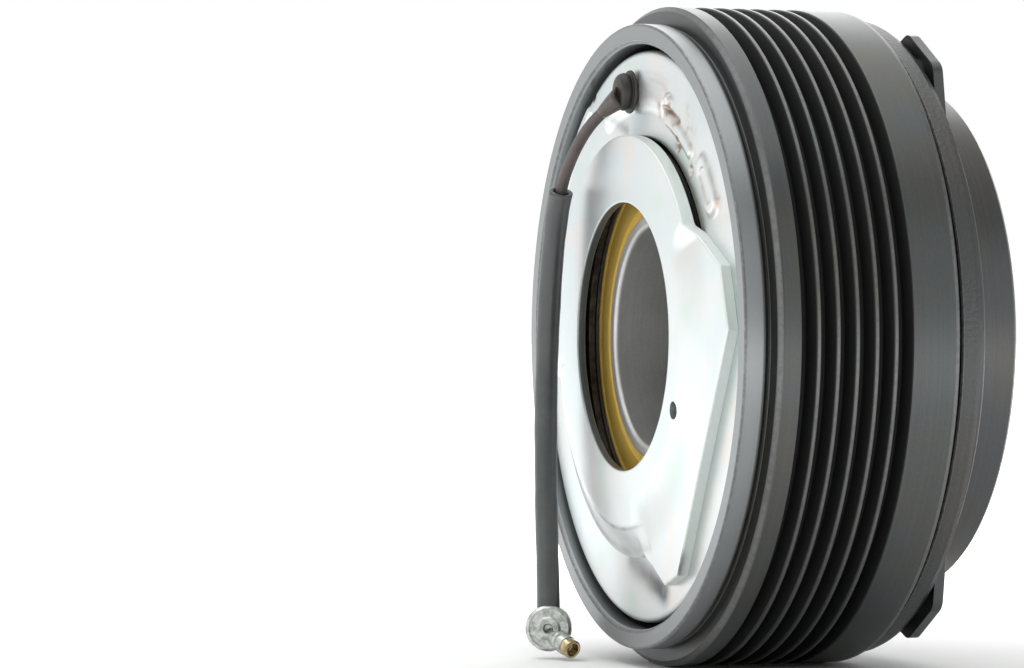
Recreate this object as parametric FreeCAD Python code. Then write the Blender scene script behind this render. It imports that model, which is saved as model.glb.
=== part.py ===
"""Electromagnetic clutch of an air-conditioning compressor, with its grooved belt pulley.

Millimetres. The turning axis is Y: the hub faces -Y (front), the compressor is at +Y (rear), and Z
is up. The origin is the middle of the bearing bore. Profiles are lists of (radius, y) corners, and
angles seen from the rear run from -X towards +Z.
"""

import FreeCAD, Part

import math
import os

from FreeCAD import Vector

os.makedirs("parts", exist_ok=True)

# Driving dimensions ---------------------------------------------------------------------------

RUN = 0.05  # radial running clearance between pieces that turn past each other

# Bearing, 40 x 66 x 24, two rows of balls
BORE_R = 20.0
BEARING_R = 33.0
BEARING_HALF = 12.0
INNER_FACE_R = 23.1
INNER_LAND_R = 24.2
OUTER_LAND_R = 29.0
SEAL_R = 30.2
SEAL_SEAT = 9.8  # distance of each seal's seat from the bearing's middle
SEAL_THICK = 1.6
BALL_R = 3.2
BALL_PITCH_R = 26.6
BALLS_PER_ROW = 18
ROW_Y = 4.9
RACE_CHAMFER = 0.6

# Pulley and rotor
PULLEY_R = 60.0
GROOVES = 6
PITCH = 3.56
GROOVE_DEPTH = 2.9
ROOT_FLAT = 0.8
GROOVE_HALF_ANGLE = 20.0
GROOVES_MID_Y = -3.3
PULLEY_FRONT = -22.3
PULLEY_REAR = 11.1
LIP_R = 56.8
LIP_REAR = 16.1
RIM_R = 53.2  # inside wall of the rim, round the coil
POLE_R = 55.2  # edge of the pole face, set into the rim
POLE_FRONT = -22.8
POLE_BACK = -17.8
NECK_R = 35.4
NECK_REAR = 14.3
ROTOR_OPENING_R = 30.8
CLIP_Y = 12.1
CLIP_THICK = 1.2
CLIP_R = 34.1
CLIP_WIDTH = 3.3

# Coil
COIL_R = 52.0
COIL_IN_R = 36.2
SHELL = 1.8
COIL_FRONT = -17.0
COIL_REAR = 14.2
BOBBIN_WALL = 1.0
TRACK_HIGH = 0.8  # height of the raised paths on the housing's back

# Mounting plate: a raised face round the compressor's nose, a skirt and one wing
PLATE = 2.0
PLATE_REAR = 17.8
WING_REAR = 16.2
PILOT_R = 24.3
PLATE_R = 36.6
DISH_R = 35.0
WING_BEND_R = 38.4
SKIRT_R = 40.2
PIN_HOLE_R = 1.6
PIN_HOLE_AT = (29.6, -26.0)  # radius and angle, seen from the rear
WING = [(31.2, 19.4), (45.2, 12.3), (49.0, 1.1), (24.6, -42.2), (18.0, -44.3), (8.3, -39.4)]

# Armature, its sleeve with three ears, and the damper
GAP = 0.5  # air gap of the clutch while the coil is off
ARMATURE_R = 58.4
ARMATURE_IN_R = 38.5
ARMATURE_THICK = 4.2
ARMATURE_REAR = POLE_FRONT - GAP
ARMATURE_FRONT = ARMATURE_REAR - ARMATURE_THICK
EAR_R = 59.3
EAR_FRONT = -30.2
EAR_THICK = 2.0
FLANGE_R = 53.0
EAR_TIP_HALF = 6.3
EAR_ROOT_HALF = 12.9
EAR_TIP_SOFT = 3.0
EAR_ROOT_SOFT = 5.0
EAR_RIVET_AT = 53.0
EAR_HEAD = 1.5
SLEEVE_R = 46.2
SLEEVE_REAR_R = 47.0
SLEEVE_IN_R = 44.6
DRUM_FRONT = -39.4

# Hub
CUP_R = 36.0
RECESS_R = 33.0
FLOOR_FRONT = -31.6
FLOOR_THICK = 2.0
FLOOR_REAR = FLOOR_FRONT + FLOOR_THICK
CONE_R = 16.6
NUT_BORE_R = 8.4
CONE_DEPTH = 7.1
NUT_SEAT = -20.5
BOSS_FLANGE_R = 25.4
BOSS_FLANGE_REAR = -26.0
BOSS_STEP_R = 17.2
BOSS_STEP_REAR = -18.6
BOSS_R = 12.0
BOSS_REAR = -12.4
SPLINE_ROOT_R = 6.3
SPLINE_TIP_R = 7.3
SPLINES = 16
SHIM_R = 8.6
PULLER_AT = 12.7
PULLER_R = 3.8
PULLER_BOTTOM = -19.8
HUB_RIVET_AT = 21.0
HUB_RIVET_R = 4.7
HUB_RIVET_HIGH = 2.6

# Lead, tube and terminal
CORD_R = 1.1
TUBE_R = 2.15
TUBE_BORE_R = 1.55
GROMMET_AT = Vector(3.0, COIL_REAR, 44.7)
GROMMET_R = 3.5
GROMMET_HIGH = 3.1
ROUTE = [
    (2.4, 16.9, 43.8),
    (8.9, 19.4, 40.7),
    (16.7, 20.9, 35.0),
    (23.1, 21.8, 27.3),
    (27.1, 22.3, 10.8),
    (28.0, 22.8, -9.2),
    (26.6, 23.3, -27.6),
    (24.8, 23.6, -40.8),
    (23.5, 23.8, -51.3),
]
MOUTH = 3  # the route's point in the mouth of the tube
TERMINAL_AT = Vector(23.3, 23.8, -54.4)
TERMINAL_R = 4.3
TERMINAL_THICK = 5.0
TERMINAL_FACE = Vector(-0.926, 0.378, 0.0)  # the way its round face looks
STUB_FROM = Vector(0.3, 0.3, -0.8)  # from the terminal's middle
STUB_WAY = Vector(-0.868, -0.249, -0.30)
STUB_R = 1.9
STUB_LENGTH = 9.0
TIP_LENGTH = 2.4

THIRDS = (0.0, 120.0, 240.0)

ORIGIN = Vector(0, 0, 0)
Y_AXIS = Vector(0, 1, 0)
OVER = 1.0  # how far a cutter runs past a face

# Shape helpers ---------------------------------------------------------------------------------


def turned(points):
    """The solid of revolution about Y of a closed outline of (radius, y) corners."""
    corners = [Vector(radius, y, 0) for radius, y in points]
    return Part.Face(Part.makePolygon(corners + corners[:1])).revolve(ORIGIN, Y_AXIS, 360)


def ring(inner, outer, y0, y1):
    """A plain ring from y0 to y1."""
    return turned([(inner, y0), (outer, y0), (outer, y1), (inner, y1)])


def rod(radius, y0, y1, place=(0.0, 0.0)):
    """A round bar parallel to the axis, at an (x, z) place."""
    return Part.makeCylinder(radius, y1 - y0, Vector(place[0], y0, place[1]), Y_AXIS)


def flat(points, y0, y1):
    """A plate from y0 to y1 with an outline of (x, z) corners."""
    corners = [Vector(x, y0, z) for x, z in points]
    return Part.Face(Part.makePolygon(corners + corners[:1])).extrude(Vector(0, y1 - y0, 0))


def joined(shapes):
    """One clean solid out of several that meet."""
    return shapes[0].fuse(shapes[1:]).removeSplitter()


def at(radius, degrees):
    """The (x, z) of a point on a circle, from +X towards +Z."""
    return radius * math.cos(math.radians(degrees)), radius * math.sin(math.radians(degrees))


def rear_at(radius, degrees):
    """The (x, z) of a point on a circle, with its angle as it is seen from the rear."""
    return at(radius, 180 - degrees)


def sector(y0, y1, first, last, reach=90.0):
    """A pie slice about the axis, from the first angle to the last, under 180 degrees wide."""
    return flat([(0, 0), at(reach, first), at(1.5 * reach, (first + last) / 2), at(reach, last)], y0, y1)


def arc_bar(radius, width, first, last, y0, y1):
    """A curved bar or slot on a circle, with round ends."""
    body = ring(radius - width / 2, radius + width / 2, y0, y1).common(sector(y0, y1, first, last))
    return joined([body] + [rod(width / 2, y0, y1, at(radius, end)) for end in (first, last)])


def rear_arc_bar(radius, width, first, last, y0, y1):
    """The same, with its angles as they are seen from the rear."""
    return arc_bar(radius, width, 180 - last, 180 - first, y0, y1)


def edges_at(shape, y):
    """The edges of a shape that lie flat in the plane at y."""
    return [e for e in shape.Edges if abs(e.BoundBox.YMin - y) + abs(e.BoundBox.YMax - y) < 0.01]


def standing_edges(shape, radius):
    """The edges parallel to the axis at a distance from it."""
    return [
        edge for edge in shape.Edges
        if len(edge.Vertexes) == 2 and abs(edge.Vertexes[0].Y - edge.Vertexes[1].Y) > OVER
        and all(abs(math.hypot(v.X, v.Z) - radius) < 0.01 for v in edge.Vertexes)
        and edge.Vertexes[0].Point.distanceToPoint(edge.Vertexes[1].Point) < EAR_THICK + OVER
    ]


def rivets(radius, sections, soft):
    """Three round rivets; sections are (radius, y0, y1) from head to tail, and soft rounds the head."""
    made = []
    for third in THIRDS:
        rivet = joined([rod(r, y0, y1, at(radius, third)) for r, y0, y1 in sections])
        made.append(rivet.makeFillet(soft, edges_at(rivet, sections[0][1])))
    return Part.makeCompound(made)


# Bearing ---------------------------------------------------------------------------------------


def ball_tracks():
    """Cutters for the grooves that the two rows of balls run in."""
    radius = BALL_R + RUN
    return [Part.makeTorus(BALL_PITCH_R, radius, Vector(0, y, 0), Y_AXIS) for y in (ROW_Y, -ROW_Y)]


def row_of_balls(radius, y):
    """Spheres of one radius at each ball's place in a row."""
    places = [at(BALL_PITCH_R, i * 360 / BALLS_PER_ROW) for i in range(BALLS_PER_ROW)]
    return [Part.makeSphere(radius, Vector(x, y, z)) for x, z in places]


def bearing_inner_race():
    half, seat, round_off = BEARING_HALF, SEAL_SEAT, 0.3
    body = turned([
        (BORE_R + RACE_CHAMFER, -half), (INNER_FACE_R - round_off, -half),
        (INNER_FACE_R, round_off - half), (INNER_FACE_R, -seat), (INNER_LAND_R, -seat),
        (INNER_LAND_R, seat), (INNER_FACE_R, seat), (INNER_FACE_R, half - round_off),
        (INNER_FACE_R - round_off, half), (BORE_R + RACE_CHAMFER, half),
        (BORE_R, half - RACE_CHAMFER), (BORE_R, RACE_CHAMFER - half),
    ])
    return body.cut(ball_tracks())


def bearing_outer_race():
    half, seat = BEARING_HALF, SEAL_SEAT
    body = turned([
        (SEAL_R, -half), (BEARING_R - RACE_CHAMFER, -half), (BEARING_R, RACE_CHAMFER - half),
        (BEARING_R, half - RACE_CHAMFER), (BEARING_R - RACE_CHAMFER, half), (SEAL_R, half),
        (SEAL_R, seat), (OUTER_LAND_R, seat), (OUTER_LAND_R, -seat), (SEAL_R, -seat),
    ])
    return body.cut(ball_tracks())


def bearing_seal(side):
    """A moulded seal with a groove near its lip; side is 1 at the rear and -1 at the front."""
    near = SEAL_SEAT + 0.2
    far = near + SEAL_THICK
    lip = INNER_FACE_R + 2 * RUN
    outline = [
        (lip, near + 0.5), (lip + 0.9, near), (SEAL_R, near), (SEAL_R, far - 0.3),
        (SEAL_R - 0.3, far), (lip + 2.3, far), (lip + 1.9, far - 0.4), (lip + 1.5, far - 0.4),
        (lip + 1.1, far), (lip, far),
    ]
    return turned([(radius, side * y) for radius, y in outline])


def bearing_cage(side):
    """A crown cage whose pockets clear the balls; side is 1 at the rear and -1 at the front."""
    half_width, open_side, back = 1.4, 1.2, 4.3
    y0, y1 = sorted((side * (ROW_Y - open_side), side * (ROW_Y + back)))
    body = ring(BALL_PITCH_R - half_width, BALL_PITCH_R + half_width, y0, y1)
    pockets = []
    for i in range(BALLS_PER_ROW):
        x, z = at(1.0, i * 360 / BALLS_PER_ROW)
        start = Vector(x, 0, z) * (BALL_PITCH_R - half_width - OVER) + Vector(0, side * ROW_Y, 0)
        pockets.append(Part.makeCylinder(BALL_R + 2 * RUN, 2 * (half_width + OVER), start, Vector(x, 0, z)))
    return body.cut(pockets)


def bearing_clip():
    """The inside circlip that keeps the bearing in the rotor, with its open ends at the top."""
    y0, y1 = CLIP_Y, CLIP_Y + CLIP_THICK - RUN
    outer = CLIP_R - RUN
    eye_r, eye_hole_r, half_gap = 2.2, 0.9, 2.6
    eye_at = outer - eye_r - 0.3
    turn = math.degrees((half_gap + eye_r) / eye_at)
    body = ring(outer - CLIP_WIDTH, outer, y0, y1)
    body = body.cut(sector(y0 - OVER, y1 + OVER, 90 - turn, 90 + turn))
    ends = (90 - turn, 90 + turn)
    body = joined([body] + [rod(eye_r, y0, y1, at(eye_at, end)) for end in ends])
    return body.cut([rod(eye_hole_r, y0 - OVER, y1 + OVER, at(eye_at, end)) for end in ends])


# Pulley and rotor -------------------------------------------------------------------------------


def groove_corners():
    """The corners of the belt grooves, from front to rear."""
    half_flat = ROOT_FLAT / 2
    half_mouth = half_flat + GROOVE_DEPTH * math.tan(math.radians(GROOVE_HALF_ANGLE))
    root = PULLEY_R - GROOVE_DEPTH
    corners = []
    for i in range(GROOVES):
        middle = GROOVES_MID_Y + (i - (GROOVES - 1) / 2) * PITCH
        corners += [
            (PULLEY_R, middle - half_mouth), (root, middle - half_flat),
            (root, middle + half_flat), (PULLEY_R, middle + half_mouth),
        ]
    return corners


def grooved_rim():
    """The pulley's rim, with the lip that stands out behind it."""
    relief = 0.6
    front = [(PULLEY_R - 0.5, PULLEY_FRONT), (PULLEY_R, PULLEY_FRONT + 0.5)]
    rear = [
        (PULLEY_R, PULLEY_REAR - 1.0), (PULLEY_R - 0.9, PULLEY_REAR), (LIP_R - relief, PULLEY_REAR),
        (LIP_R - relief, PULLEY_REAR + relief), (LIP_R, PULLEY_REAR + 2 * relief),
        (LIP_R, LIP_REAR - 0.4), (LIP_R - 0.4, LIP_REAR),
    ]
    inside = [
        (RIM_R + 0.7, LIP_REAR), (RIM_R, LIP_REAR - 0.7), (RIM_R, POLE_BACK), (POLE_R, POLE_BACK),
        (POLE_R, PULLEY_FRONT),
    ]
    return turned(front + groove_corners() + rear + inside)


def rotor_cup():
    """The pole face and the neck round the bearing, cut by two circles of curved slots."""
    step = 0.8
    clip_end = CLIP_Y + CLIP_THICK
    body = turned([
        (ROTOR_OPENING_R, POLE_FRONT + step), (NECK_R + 1.5, POLE_FRONT + step),
        (NECK_R + 1.5 + step, POLE_FRONT), (POLE_R, POLE_FRONT), (POLE_R, POLE_BACK),
        (NECK_R, POLE_BACK), (NECK_R, NECK_REAR - 0.4), (NECK_R - 0.4, NECK_REAR),
        (BEARING_R, NECK_REAR), (BEARING_R, clip_end), (CLIP_R, clip_end), (CLIP_R, CLIP_Y),
        (BEARING_R, CLIP_Y), (BEARING_R, -BEARING_HALF), (ROTOR_OPENING_R, -BEARING_HALF),
    ])
    slots = []
    for i in range(6):
        for radius, width, middle in ((50.2, 2.0, 60 * i + 30), (42.4, 1.9, 60 * i)):
            half = 23
            slots.append(
                arc_bar(radius, width, middle - half, middle + half, POLE_FRONT - OVER, POLE_BACK + OVER)
            )
    return body.cut(slots)


# Coil -------------------------------------------------------------------------------------------


def coil_channel():
    """The steel channel that holds the winding, open to the front."""
    inside_rear = COIL_REAR - SHELL
    return turned([
        (COIL_IN_R, COIL_FRONT), (COIL_IN_R + SHELL, COIL_FRONT), (COIL_IN_R + SHELL, inside_rear),
        (COIL_R - SHELL, inside_rear), (COIL_R - SHELL, COIL_FRONT), (COIL_R, COIL_FRONT),
        (COIL_R, COIL_REAR - 0.8), (COIL_R - 0.8, COIL_REAR), (COIL_IN_R + 0.4, COIL_REAR),
        (COIL_IN_R, COIL_REAR - 0.4),
    ])


def coil_housing():
    """The channel with the raised paths, holes and marks on its back."""
    low, high = COIL_REAR - 0.4, COIL_REAR + TRACK_HIGH
    raised = [
        rear_arc_bar(44.6, 4.6, 74, 112, low, high),
        rear_arc_bar(41.6, 2.4, 52, 70, low, high - 0.3),
        rear_arc_bar(43.4, 5.4, 33, 42, low, high),
        rear_arc_bar(50.2, 2.0, 123, 158, low, high - 0.2),
        rod(1.1, low, high + 0.3, rear_at(44.9, 70)),
    ]
    below, above = COIL_REAR - SHELL - OVER, high + OVER
    shallow = COIL_REAR + 0.3
    cuts = [
        rear_arc_bar(43.4, 2.8, 34.5, 40.5, shallow, above),
        rear_arc_bar(43.2, 0.7, 62, 72, COIL_REAR - 0.5, above),
        rod(1.35, below, above, rear_at(39.4, 60)),
        rod(0.9, COIL_REAR - 0.5, above, rear_at(39.2, 48)),
        rod(GROMMET_R - 1.2, below, above, (GROMMET_AT.x, GROMMET_AT.z)),
    ]
    notch = Part.makeBox(2.6, 3.0, 0.9, Vector(COIL_R - 2.2, COIL_REAR - 1.6, -0.45))
    notch.rotate(ORIGIN, Y_AXIS, -(180 - 119))
    return joined([coil_channel()] + raised).cut(cuts + [notch])


def coil_bobbin():
    """The plastic spool between the winding and the steel, open outwards."""
    y0, y1 = COIL_FRONT + 1.6, COIL_REAR - SHELL
    inner, outer = COIL_IN_R + SHELL, COIL_R - SHELL
    wall = BOBBIN_WALL
    return turned([
        (inner, y0), (outer - 0.4, y0), (outer - 0.4, y0 + wall), (inner + wall, y0 + wall),
        (inner + wall, y1 - wall), (outer - 0.4, y1 - wall), (outer - 0.4, y1), (inner, y1),
    ])


def coil_winding():
    """The copper winding, as one packed ring."""
    y0, y1 = COIL_FRONT + 1.6 + BOBBIN_WALL, COIL_REAR - SHELL - BOBBIN_WALL
    return ring(COIL_IN_R + SHELL + BOBBIN_WALL, COIL_R - SHELL - 0.6, y0, y1)


def coil_resin():
    """The resin that closes the channel's open front."""
    return ring(COIL_IN_R + SHELL, COIL_R - SHELL, COIL_FRONT + 0.5, COIL_FRONT + 1.6)


def plate_part(outline, first, last):
    """A sector of a turned sheet, between two angles as they are seen from the rear."""
    y0, y1 = COIL_REAR - OVER, PLATE_REAR + OVER
    middle = (first + last) / 2
    halves = [sector(y0, y1, 180 - middle, 180 - first), sector(y0, y1, 180 - last, 180 - middle)]
    return turned(outline).common(joined(halves))


def mounting_plate():
    """The pressed plate: raised face, skirt at the lower left, and wing on the right."""
    face_front, foot = PLATE_REAR - PLATE, COIL_REAR
    face = turned([
        (PILOT_R, face_front), (PLATE_R, face_front), (PLATE_R, PLATE_REAR - 0.5),
        (PLATE_R - 0.7, PLATE_REAR), (PILOT_R, PLATE_REAR),
    ])
    skirt = [
        (DISH_R - 1.0, face_front), (DISH_R, PLATE_REAR), (SKIRT_R - 0.5, foot + 0.9),
        (SKIRT_R, foot + 0.4), (SKIRT_R, foot), (SKIRT_R - 3.0, foot),
    ]
    bend = [
        (DISH_R - 1.0, face_front), (DISH_R, PLATE_REAR), (WING_BEND_R, WING_REAR), (WING_BEND_R, foot),
        (DISH_R + 1.0, foot),
    ]
    wing = flat([(-x, z) for x, z in WING] + [(0, 0)], foot, WING_REAR)
    wing = wing.cut(rod(WING_BEND_R, foot - OVER, WING_REAR + OVER))
    body = joined([
        face, plate_part(skirt, 188, 284), plate_part(bend, -77, 32).common(wing_reach()), wing,
    ])
    return body.cut(rod(PIN_HOLE_R, foot, PLATE_REAR + OVER, rear_at(*PIN_HOLE_AT)))


def wing_reach():
    """A tall block inside the wing's outline, which the bend under the wing is kept to."""
    return flat([(-x, z) for x, z in WING] + [(0, 0)], COIL_REAR - OVER, PLATE_REAR + OVER)


# Hub, damper and armature -------------------------------------------------------------------------


def splined_hole(y0, y1):
    """A cutter with straight-sided teeth, for the shaft's splines."""
    corners = []
    for i in range(SPLINES):
        for radius, share in ((SPLINE_ROOT_R, 0.0), (SPLINE_ROOT_R, 0.42), (SPLINE_TIP_R, 0.56),
                              (SPLINE_TIP_R, 0.86)):
            corners.append(at(radius, (i + share) * 360 / SPLINES))
    return flat(corners, y0, y1)


def hub_boss():
    """The forged boss: dished front, bolt bore, splines, rivet flange and blind puller holes."""
    shim_seat = 1.5
    body = turned([
        (NUT_BORE_R, FLOOR_FRONT + CONE_DEPTH), (CONE_R, FLOOR_FRONT), (CONE_R, FLOOR_REAR),
        (BOSS_FLANGE_R, FLOOR_REAR), (BOSS_FLANGE_R, BOSS_FLANGE_REAR), (BOSS_STEP_R, BOSS_FLANGE_REAR),
        (BOSS_STEP_R, BOSS_STEP_REAR), (BOSS_R, BOSS_STEP_REAR + 1.5), (BOSS_R, BOSS_REAR - 0.5),
        (BOSS_R - 0.5, BOSS_REAR), (SHIM_R, BOSS_REAR), (SHIM_R, BOSS_REAR - shim_seat),
        (SPLINE_ROOT_R - 1.0, BOSS_REAR - shim_seat), (SPLINE_ROOT_R - 1.0, NUT_SEAT),
        (NUT_BORE_R, NUT_SEAT),
    ])
    holes = [splined_hole(NUT_SEAT - OVER, BOSS_REAR)]
    for third in THIRDS:
        holes.append(rod(PULLER_R, FLOOR_FRONT - OVER, PULLER_BOTTOM, at(PULLER_AT, third)))
        holes.append(rod(3.0, FLOOR_REAR - OVER, BOSS_FLANGE_REAR + OVER, at(HUB_RIVET_AT, third)))
    return body.cut(holes)


def air_gap_shims():
    """Two thin shims in the boss's rear seat, which set the air gap."""
    seat = BOSS_REAR - 1.5
    return Part.makeCompound([
        ring(SPLINE_TIP_R + 0.1, SHIM_R - 0.1, seat, seat + 0.5),
        ring(SPLINE_TIP_R + 0.1, SHIM_R - 0.1, seat + 0.5, seat + 0.8),
    ])


def inner_cup():
    """The pressed cup inside the damper; its floor is riveted to the boss."""
    body = turned([
        (RECESS_R + 0.8, DRUM_FRONT + 0.1), (CUP_R - 0.3, DRUM_FRONT + 0.1), (CUP_R, DRUM_FRONT + 0.4),
        (CUP_R, FLOOR_REAR - 0.8), (CUP_R - 0.8, FLOOR_REAR), (CONE_R, FLOOR_REAR), (CONE_R, FLOOR_FRONT),
        (RECESS_R - 0.6, FLOOR_FRONT), (RECESS_R, FLOOR_FRONT - 0.6), (RECESS_R, DRUM_FRONT + 0.9),
    ])
    return body.cut([rod(3.0, FLOOR_FRONT - OVER, FLOOR_REAR + OVER, at(HUB_RIVET_AT, t)) for t in THIRDS])


def rubber_damper():
    """The rubber ring between the cup and the sleeve."""
    front, rear = DRUM_FRONT + 0.3, EAR_FRONT + 0.5
    outer = SLEEVE_IN_R - RUN
    return turned([
        (CUP_R, front), (outer, front), (outer, rear), (outer - 1.4, rear - 1.2), (CUP_R + 1.4, rear - 1.2),
        (CUP_R, rear),
    ])


def hub_rivets():
    return rivets(HUB_RIVET_AT, [
        (HUB_RIVET_R, FLOOR_FRONT - HUB_RIVET_HIGH, FLOOR_FRONT), (3.0, FLOOR_FRONT, BOSS_FLANGE_REAR),
        (3.6, BOSS_FLANGE_REAR, BOSS_FLANGE_REAR + 1.6),
    ], 0.4)


def outer_sleeve():
    """The sleeve round the damper, with a flange and three ears that carry the armature."""
    ear_rear = EAR_FRONT + EAR_THICK
    drum = turned([
        (SLEEVE_IN_R, DRUM_FRONT + 0.3), (SLEEVE_IN_R + 0.3, DRUM_FRONT), (SLEEVE_R - 0.5, DRUM_FRONT),
        (SLEEVE_R, DRUM_FRONT + 0.5), (SLEEVE_REAR_R, EAR_FRONT - 0.4), (SLEEVE_REAR_R + 0.4, EAR_FRONT),
        (FLANGE_R, EAR_FRONT), (FLANGE_R, ear_rear), (SLEEVE_IN_R + 0.6, ear_rear),
        (SLEEVE_IN_R, ear_rear - 0.6),
    ])
    root = math.sqrt(FLANGE_R**2 - EAR_ROOT_HALF**2)
    outline = [(SLEEVE_REAR_R, -EAR_ROOT_HALF), (root, -EAR_ROOT_HALF), (EAR_R, -EAR_TIP_HALF),
               (EAR_R, EAR_TIP_HALF), (root, EAR_ROOT_HALF), (SLEEVE_REAR_R, EAR_ROOT_HALF)]
    ears = []
    for third in THIRDS:
        ear = flat(outline, EAR_FRONT, ear_rear)
        ear.rotate(ORIGIN, Y_AXIS, -third)
        ears.append(ear)
    holes = [rod(2.5, EAR_FRONT - OVER, ear_rear + OVER, at(EAR_RIVET_AT, third)) for third in THIRDS]
    body = joined([drum] + ears)
    for place, soft in ((math.hypot(EAR_R, EAR_TIP_HALF), EAR_TIP_SOFT), (FLANGE_R, EAR_ROOT_SOFT)):
        body = body.makeFillet(soft, standing_edges(body, place))
    rim = [edge for edge in edges_at(body, EAR_FRONT)
           if all(math.hypot(v.X, v.Z) > FLANGE_R - 0.1 for v in edge.Vertexes)]
    return body.makeFillet(0.35, rim).cut(holes)


def armature_plate():
    """The steel disc that the coil pulls on to the rotor, with its circle of curved slots."""
    y0, y1 = ARMATURE_FRONT, ARMATURE_REAR
    body = turned([
        (ARMATURE_IN_R, y0 + 0.5), (ARMATURE_IN_R + 0.5, y0), (ARMATURE_R - 1.3, y0),
        (ARMATURE_R - 0.4, y0 + 0.4), (ARMATURE_R, y0 + 1.3), (ARMATURE_R, y1 - 0.3),
        (ARMATURE_R - 0.3, y1), (ARMATURE_IN_R, y1),
    ])
    cuts = [arc_bar(46.4, 1.8, 60 * i + 7, 60 * i + 53, y0 - OVER, y1 + OVER) for i in range(6)]
    for third in THIRDS:
        cuts += [
            rod(2.5, y0 - OVER, y1, at(EAR_RIVET_AT, third)),
            rod(3.6, y1 - 0.7, y1 + OVER, at(EAR_RIVET_AT, third)),
        ]
    return body.cut(cuts)


def ear_rivets():
    ear_rear = EAR_FRONT + EAR_THICK
    return rivets(EAR_RIVET_AT, [
        (4.25, EAR_FRONT - EAR_HEAD, EAR_FRONT), (2.5, EAR_FRONT, ear_rear), (4.0, ear_rear, ARMATURE_FRONT),
        (2.5, ARMATURE_FRONT, ARMATURE_REAR - 0.7), (3.6, ARMATURE_REAR - 0.7, ARMATURE_REAR - 0.1),
    ], 0.6)


# Lead, tube and terminal ----------------------------------------------------------------------------


def route_wire(route, label):
    """Straight runs joined by tangent arcs, each as large as its two runs allow."""
    points = [Vector(*point) for point in route]
    edges, start, radii = [], points[0], []
    for before, corner, after in zip(points, points[1:], points[2:]):
        into, out = (corner - before), (after - corner)
        shorter = min(into.Length, out.Length)
        into.normalize()
        out.normalize()
        turn = into.getAngle(out)
        radius = 0.45 * shorter / math.tan(turn / 2)
        cut_back = 0.45 * shorter
        first, last = corner - into * cut_back, corner + out * cut_back
        inward = out - into
        inward.normalize()
        middle = corner + inward * (radius / math.cos(turn / 2) - radius)
        edges += [Part.LineSegment(start, first).toShape(), Part.Arc(first, middle, last).toShape()]
        start = last
        radii.append(radius)
    edges.append(Part.LineSegment(start, points[-1]).toShape())
    print(label, "radii mm", [round(r, 1) for r in radii])
    return Part.Wire(edges)


def swept(path, radius):
    """A round bar along a path."""
    start = path.Edges[0]
    way = start.tangentAt(start.FirstParameter)
    section = Part.Wire(Part.makeCircle(radius, start.valueAt(start.FirstParameter), way))
    bar = path.makePipeShell([section], True, False)
    print("  volume share of section times length", round(bar.Volume / (math.pi * radius**2 * path.Length), 4))
    return bar


def lead_wire():
    """The insulated lead, from the grommet to the terminal; most of it is inside the tube."""
    return swept(route_wire(ROUTE, "lead"), CORD_R)


def lead_tube():
    """The loose protective tube over the lead."""
    path = route_wire(ROUTE[MOUTH:], "tube")
    return swept(path, TUBE_R).cut(swept(path, TUBE_BORE_R))


def lead_grommet(lead):
    """The rubber knob where the lead leaves the coil, with its neck in the housing's hole."""
    x, z = GROMMET_AT.x, GROMMET_AT.z
    base = COIL_REAR + TRACK_HIGH
    top = COIL_REAR + GROMMET_HIGH
    knob = rod(GROMMET_R, base, top, (x, z))
    knob = knob.makeFillet(1.2, [edge for edge in knob.Edges if abs(edge.CenterOfMass.y - top) < 0.01])
    neck = rod(GROMMET_R - 1.2, COIL_REAR - SHELL, base, (x, z))
    return joined([knob, neck]).cut(lead)


def terminal_body(lead, tube):
    """The plated round shell on the lead's end, with the root of its stub."""
    face = Vector(TERMINAL_FACE)
    face.normalize()
    shell = Part.makeCylinder(TERMINAL_R, TERMINAL_THICK, TERMINAL_AT - face * (TERMINAL_THICK / 2), face)
    shell = shell.makeFillet(1.1, [edge for edge in shell.Edges if edge.Curve.TypeId == "Part::GeomCircle"])
    way = Vector(STUB_WAY)
    way.normalize()
    stub = Part.makeCone(STUB_R + 0.35, STUB_R, STUB_LENGTH - TIP_LENGTH, TERMINAL_AT + STUB_FROM, way)
    return joined([shell, stub]).cut([lead, tube])


def terminal_tip():
    """The brass contact at the end of the stub: a short socket."""
    way = Vector(STUB_WAY)
    way.normalize()
    start = TERMINAL_AT + STUB_FROM + way * (STUB_LENGTH - TIP_LENGTH)
    tip = Part.makeCylinder(STUB_R - 0.15, TIP_LENGTH, start, way)
    return tip.cut(Part.makeCylinder(STUB_R - 0.75, TIP_LENGTH, start + way * 0.6, way))


# Build ------------------------------------------------------------------------------------------------


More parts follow.
